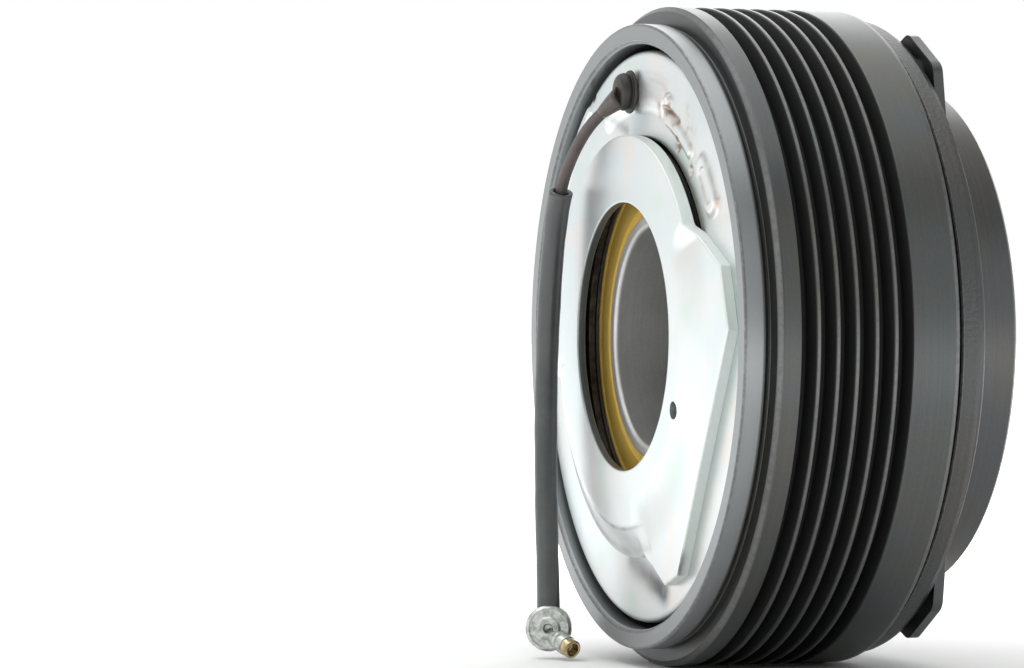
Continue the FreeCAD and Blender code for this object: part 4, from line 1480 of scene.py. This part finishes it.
@dataclass
class Armature:
    """The outer sleeve with its flange and ears, the ear rivets and the armature plate, in millimetres."""

    sleeve: float = 46.2
    inside: float = 44.6
    front: float = -39.4
    flange: float = 53.0
    flange_front: float = -30.2
    plate_shoulders: tuple[Circle, ...] = ((57.7, -27.3, 0.5), (58.4, -23.4, 0.4))

    def build(self) -> None:
        """Dresses the sleeve, rivets and plate."""
        dress("outer_sleeve", TurnedSteel(
            "sleeve steel", (0.085, 0.09, 0.094), (0.095, 0.09, 0.083), roughness=0.34,
            edges=((self.sleeve - 0.2, self.front + 0.2, 0.5), (self.flange, self.flange_front, 0.4),
                   (self.inside + 0.1, self.front, 0.3)),
        ).material())
        rivets = PlainMetal("ear rivet steel", (0.16, 0.165, 0.165), (0.11, 0.11, 0.11), 0.36)
        dress("ear_rivets", rivets.material())
        dress("armature_plate", TurnedSteel(
            "armature steel", (0.085, 0.087, 0.088), (0.095, 0.09, 0.082), roughness=0.42, marks=10.0,
            coarse=110.0, edges=self.plate_shoulders).material())


# Studio ------------------------------------------------------------------------------------------


@dataclass
class Studio:
    """The floor, the soft light and the camera.

    Attributes:
        aim: The point that the camera turns round, in metres.
        azimuth: Where the camera stands, in degrees: 0 looks along +Y and 90 along -X.
        distance: How far it stands from that point, in metres.
        lens: Its focal length, for a sensor 36 mm wide.
        right: How far right of the middle the point is seen, in lens lengths.
        down: How far below the middle it is seen, in lens lengths.
        floor: How high the floor is, in metres.
    """

    aim: tuple[float, float, float] = (0.0, -0.016, 0.0)
    azimuth: float = 247.78
    distance: float = 0.7605
    lens: float = 144.6
    right: float = 0.06854
    down: float = 0.00063
    floor: float = -0.0601

    def build(self) -> None:
        """Makes the floor, lights and camera."""
        self.make_floor()
        self.make_world()
        self.make_lights()
        self.make_camera()
        bpy.context.scene.view_settings.view_transform = "Standard"

    def make_camera(self) -> None:
        """Stands the camera off the object and turns it so that the object is right of the middle."""
        turn = math.radians(self.azimuth)
        back = Vector((math.sin(turn), -math.cos(turn), 0))
        right = Vector((math.cos(turn), math.sin(turn), 0))
        data = bpy.data.cameras.new("camera")
        data.lens, data.sensor_width = self.lens, 36.0
        data.clip_start, data.clip_end = 0.01, 50
        camera = in_scene("camera", data)
        camera.location = Vector(self.aim) + back * self.distance
        ahead = (-back - right * self.right + Vector((0, 0, self.down))).normalized()
        camera.rotation_mode = "QUATERNION"
        camera.rotation_quaternion = ahead.to_track_quat("-Z", "Y")
        bpy.context.scene.camera = camera

    def make_floor(self) -> None:
        """A wide pale floor, just under the rim."""
        size = 30.0
        mesh = bpy.data.meshes.new("floor")
        square = [(-size, -size), (size, -size), (size, size), (-size, size)]
        mesh.from_pydata([(x, y, self.floor) for x, y in square], [], [(0, 1, 2, 3)])
        floor = in_scene("floor", mesh)
        graph = Graph("floor")
        x, y, _ = graph.place()
        cloth = graph.noise(graph.vector(x, y, 0.0), 0.02, 3.0)
        far = ((x * x + y * y) ** 0.5).ramp(110.0, 420.0)
        mesh.materials.append(graph.surface(
            Base_Color=graph.mix((0.93, 0.93, 0.93), (0.96, 0.96, 0.96), cloth), Roughness=0.9,
            Emission_Color=graph.mix((0.0, 0.0, 0.0), (1.0, 1.0, 1.0), far), Emission_Strength=1.0))

    def make_world(self) -> None:
        """A white tent: white to the eye, and for light dimmer on the side where the camera stands."""
        world = bpy.data.worlds.new("studio")
        world.use_nodes = True
        bpy.context.scene.world = world
        nodes, links = world.node_tree.nodes, world.node_tree.links
        background = nodes["Background"]
        place, side = nodes.new("ShaderNodeTexCoord"), nodes.new("ShaderNodeVectorMath")
        shade, seen = nodes.new("ShaderNodeMapRange"), nodes.new("ShaderNodeMath")
        path = nodes.new("ShaderNodeLightPath")
        side.operation, shade.interpolation_type = "DOT_PRODUCT", "SMOOTHSTEP"
        side.inputs[1].default_value = (0.93, 0.37, 0.12)
        links.new(place.outputs["Generated"], side.inputs[0])
        links.new(side.outputs["Value"], shade.inputs["Value"])
        shade.inputs["From Min"].default_value, shade.inputs["From Max"].default_value = -0.35, 0.75
        shade.inputs["To Min"].default_value, shade.inputs["To Max"].default_value = 0.42, 1.0
        seen.operation = "MAXIMUM"
        links.new(shade.outputs[0], seen.inputs[0])
        links.new(path.outputs["Is Camera Ray"], seen.inputs[1])
        links.new(seen.outputs[0], background.inputs["Strength"])
        background.inputs["Color"].default_value = (1.0, 1.0, 1.0, 1.0)

    def make_lights(self) -> None:
        """Large soft panels: one over the object, one on each side and one low at the front."""
        panels = (
            ("overhead", (0.0, 0.1, 1.1), 1.4, 8.0), ("left", (-0.55, 1.0, 0.5), 0.8, 1.6),
            ("right", (-0.9, -0.8, 0.35), 0.9, 1.6), ("front", (0.9, -0.6, 0.6), 0.8, 3.4),
        )
        for name, place, size, power in panels:
            light = bpy.data.lights.new(name, "AREA")
            light.shape, light.size, light.energy = "SQUARE", size, power
            lamp = in_scene(name, light)
            lamp.location = place
            lamp.rotation_mode = "QUATERNION"
            lamp.rotation_quaternion = (-Vector(place)).to_track_quat("-Z", "Y")


def main() -> None:
    """Builds the studio and every sub-assembly."""
    logging.basicConfig(level=logging.INFO, format="%(name)s: %(message)s")
    for part in (Studio(), Lead(), Pulley(), Bearing(), Coil(), MountingPlate(), Hub(), Armature()):
        part.build()
        LOG.info("%s is built", type(part).__name__)


if __name__ == "__main__":
    main()
